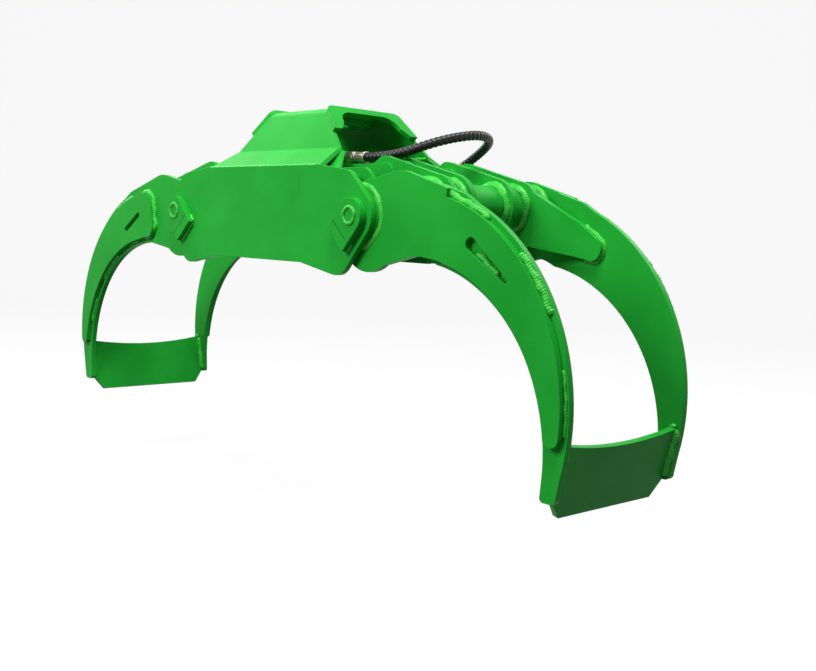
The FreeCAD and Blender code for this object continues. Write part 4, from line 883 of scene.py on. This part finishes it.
class FitHose(bpy.types.Operator):
    """Lays the hose between its two fittings and winds the spiral guard round it"""
    bl_idname = "grapple.fit_hose"
    bl_label = "Fit the hose"

    def execute(self, context):
        sizes = context.scene.grapple_sizes
        black = finishes()["black_polythene_guard"]
        curve = bpy.data.curves.new("hydraulic_hose", "CURVE")
        curve.dimensions = "3D"
        spline = curve.splines.new("NURBS")
        spline.points.add(len(HOSE_ROUTE) - 1)
        points = np.array(HOSE_ROUTE) * MM
        spline.points.foreach_set("co", np.c_[points, np.ones(len(points))].ravel())
        spline.order_u = 3
        spline.use_endpoint_u = True
        spline.resolution_u = 24
        line_object = bpy.data.objects.new("hose_line", curve)
        line = bpy.data.meshes.new_from_object(line_object)
        path = np.zeros(len(line.vertices) * 3)
        line.vertices.foreach_get("co", path)
        path = path.reshape(-1, 3)
        bpy.data.objects.remove(line_object)
        bpy.data.meshes.remove(line)
        curve.bevel_depth = sizes.hose_core / 2
        curve.bevel_resolution = 6
        curve.use_fill_caps = True
        curve.materials.append(black)
        hose = bpy.data.objects.new("hydraulic_hose", curve)
        context.collection.objects.link(hose)
        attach(hose, "barrels")
        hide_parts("hose")
        guard = make_piece("hose_spiral_guard", [spiral_guard(path)], black, "barrels")
        return {"FINISHED"}


def spiral_guard(path):
    """The guard: radius over distance s and angle a is the hose's plus a rounded ridge of
    phase s / pitch - a / full turn, so the ridge runs round the hose as a helix."""
    sizes = bpy.context.scene.grapple_sizes
    spread, run = resample(path, sizes.guard_pitch / 9, False)
    along = tangents(spread, False)
    up = np.array([0.0, 0.0, 1.0]) * np.ones_like(spread)
    up = up - (up * along).sum(1, keepdims=True) * along
    up = up / np.linalg.norm(up, axis=1, keepdims=True)
    aside = np.cross(along, up)
    angle = full_turn(36)
    phase = run[:, None] / sizes.guard_pitch - angle[None, :] / (2 * np.pi)
    ridge = np.abs(np.sin(np.pi * phase)) ** 0.55
    radius = sizes.hose_core / 2 + 0.1 * MM + sizes.guard_ridge * ridge
    ends = np.clip(np.minimum(run, run[-1] - run) / (1.5 * MM), 0.0, 1.0)[:, None]
    radius = radius * (0.8 + 0.2 * ends)
    rings = (spread[:, None, :] + (radius * np.cos(angle))[..., None] * up[:, None, :]
             + (radius * np.sin(angle))[..., None] * aside[:, None, :])
    return closed_surface(rings, False)


# Section of the wiper lip: distance from the gland's face and radius.
WIPER_LIP = ((0, 29.2), (0, 36), (-2.5, 36), (-4.5, 33), (-5, 29.2), (-2, 28.8))


class SealRods(bpy.types.Operator):
    """Adds the wiper lip where each piston rod leaves its gland"""
    bl_idname = "grapple.seal_rods"
    bl_label = "Seal the rods"

    def execute(self, context):
        black = finishes()["black_polythene_guard"]
        parts = []
        for row in ROWS:
            low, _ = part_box("gland_front" if row < 0 else "gland_rear")
            angle = full_turn(64)[:, None]
            section = np.array(WIPER_LIP)[None, :, :] * MM * np.ones((64, 1, 1))
            rings = np.stack([low.x + section[..., 0],
                              row * CYLINDER_OFFSET * MM + section[..., 1] * np.cos(angle),
                              CYLINDER_LEVEL * MM + section[..., 1] * np.sin(angle)], -1)
            parts.append(closed_surface(rings, True))
        make_piece("rod_wiper_lips", parts, black, "barrels")
        return {"FINISHED"}


# The tips swing this far below their open place, so the grapple hangs clear of the floor.
JAW_SWEEP = 0.24
CAMERA_PLACE = (2.36678, -1.87902, -0.30777)
CAMERA_AHEAD = (-0.73004, 0.67626, -0.09855)
CAMERA_RIGHT = (0.67602, 0.73575, 0.04090)
CAMERA_LENS = 47.17
# The paper: how far its floor runs to the front and to the wall, the bend's radius, the wall's
# top above the floor and the half width.
PAPER_FRONT = -14
PAPER_BACK = 7.0
PAPER_BEND = 2.5
PAPER_TOP = 9
PAPER_HALF_WIDTH = 16.0
AMBIENT = 0.08
LAMP_AIM = (0, 0, -0.4)
# Each lamp's name, place, power and width.
LAMPS = (("key_lamp", (-0.3, -3.2, 1.7), 120, 1.5),
         ("side_lamp", (-4.2, -0.6, 2.4), 100, 2.6),
         ("back_lamp", (0.8, 4.2, 2.4), 80, 2.4),
         ("top_lamp", (1.6, -0.8, 4.0), 290, 2.4))


class SetStage(bpy.types.Operator):
    """Sets the floor, the wall, the lamps and the camera"""
    bl_idname = "grapple.set_stage"
    bl_label = "Set the stage"

    def execute(self, context):
        scene = context.scene
        low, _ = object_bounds()
        paper = studio_paper("studio_paper_matt", scene.grapple_colours.floor)
        # One sweep of paper: flat floor, quarter circle, wall, carried along X.
        turn = np.linspace(0, np.pi / 2, 24)
        floor = low.z - JAW_SWEEP
        y = np.concatenate([[PAPER_FRONT], PAPER_BACK + PAPER_BEND * np.sin(turn),
                            [PAPER_BACK + PAPER_BEND]])
        z = np.concatenate([[floor], floor + PAPER_BEND * (1 - np.cos(turn)),
                            [floor + PAPER_TOP]])
        x = np.array([-PAPER_HALF_WIDTH, PAPER_HALF_WIDTH])
        sweep = np.stack([np.broadcast_to(x[:, None], (2, len(y))),
                          np.broadcast_to(y, (2, len(y))), np.broadcast_to(z, (2, len(z)))], -1)
        # The sweep is turned so that its wall stands square behind the object.
        heading = math.atan2(CAMERA_AHEAD[1], CAMERA_AHEAD[0]) - math.pi / 2
        spin = np.array([[math.cos(heading), -math.sin(heading)],
                         [math.sin(heading), math.cos(heading)]])
        sweep[..., :2] = sweep[..., :2] @ spin.T
        count = len(y)
        i = np.arange(count - 1)
        faces = np.stack([i, i + count, i + count + 1, i + 1], -1)
        mesh = bpy.data.meshes.new("studio_sweep")
        mesh.from_pydata(sweep.reshape(-1, 3).tolist(), [], faces.tolist())
        mesh.polygons.foreach_set("use_smooth", np.ones(len(mesh.polygons), bool))
        mesh.materials.append(paper)
        paper_sweep = bpy.data.objects.new("studio_sweep", mesh)
        context.collection.objects.link(paper_sweep)
        paper_sweep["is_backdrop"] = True

        world = bpy.data.worlds.new("studio_world")
        scene.world = world
        world.use_nodes = True
        tree = world.node_tree
        tree.nodes.clear()
        plain = add(tree, "Background", {"Color": (1, 1, 1, 1), "Strength": AMBIENT})
        white = add(tree, "Background", {"Color": (1, 1, 1, 1), "Strength": 1.0})
        mix = add(tree, "MixShader", {0: seen_rays(tree).outputs["Value"],
                                      1: plain.outputs["Background"],
                                      2: white.outputs["Background"]})
        output = add(tree, "OutputWorld")
        tree.links.new(mix.outputs["Shader"], output.inputs["Surface"])

        for name, place, power, size in LAMPS:
            lamp = bpy.data.lights.new(name, "AREA")
            lamp.shape = "SQUARE"
            lamp.size = size
            lamp.energy = power
            holder = bpy.data.objects.new(name, lamp)
            holder.location = place
            holder.rotation_euler = (Vector(LAMP_AIM) - Vector(place)).to_track_quat("-Z", "Y").to_euler()
            context.collection.objects.link(holder)

        camera = bpy.data.cameras.new("studio_camera")
        camera.lens = CAMERA_LENS
        camera.sensor_width = 36
        camera.clip_end = 100
        holder = bpy.data.objects.new("studio_camera", camera)
        ahead = Vector(CAMERA_AHEAD).normalized()
        right = Vector(CAMERA_RIGHT).normalized()
        up = right.cross(ahead).normalized()
        right = ahead.cross(up)
        turn = Matrix((right, up, -ahead)).transposed().to_4x4()
        holder.matrix_world = Matrix.Translation(CAMERA_PLACE) @ turn
        context.collection.objects.link(holder)
        scene.camera = holder
        scene.view_settings.view_transform = "Standard"
        return {"FINISHED"}


class GrapplePanel(bpy.types.Panel):
    """All sizes and colours, and a button for each step"""
    bl_idname = "VIEW3D_PT_grapple"
    bl_label = "Log grapple"
    bl_space_type = "VIEW_3D"
    bl_region_type = "UI"
    bl_category = "Grapple"

    def draw(self, context):
        layout = self.layout
        for group in (context.scene.grapple_sizes, context.scene.grapple_colours):
            box = layout.box()
            for name in group.__annotations__:
                box.prop(group, name)
        for operator in OPERATORS:
            layout.operator(operator.bl_idname)


OPERATORS = (PaintSteel, WeldFrame, ScribeKeepers, WeldJaws, WeldCylinders, MakeFittings,
             FitHose, SealRods, SetStage)
CLASSES = (GrappleSizes, GrappleColours, *OPERATORS, GrapplePanel)


def register():
    for item in CLASSES:
        bpy.utils.register_class(item)
    bpy.types.Scene.grapple_sizes = PointerProperty(type=GrappleSizes)
    bpy.types.Scene.grapple_colours = PointerProperty(type=GrappleColours)


def unregister():
    del bpy.types.Scene.grapple_colours
    del bpy.types.Scene.grapple_sizes
    for item in reversed(CLASSES):
        bpy.utils.unregister_class(item)


def main():
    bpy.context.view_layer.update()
    register()
    for operator in OPERATORS:
        group, name = operator.bl_idname.split(".")
        getattr(getattr(bpy.ops, group), name)()


if __name__ == "__main__":
    main()
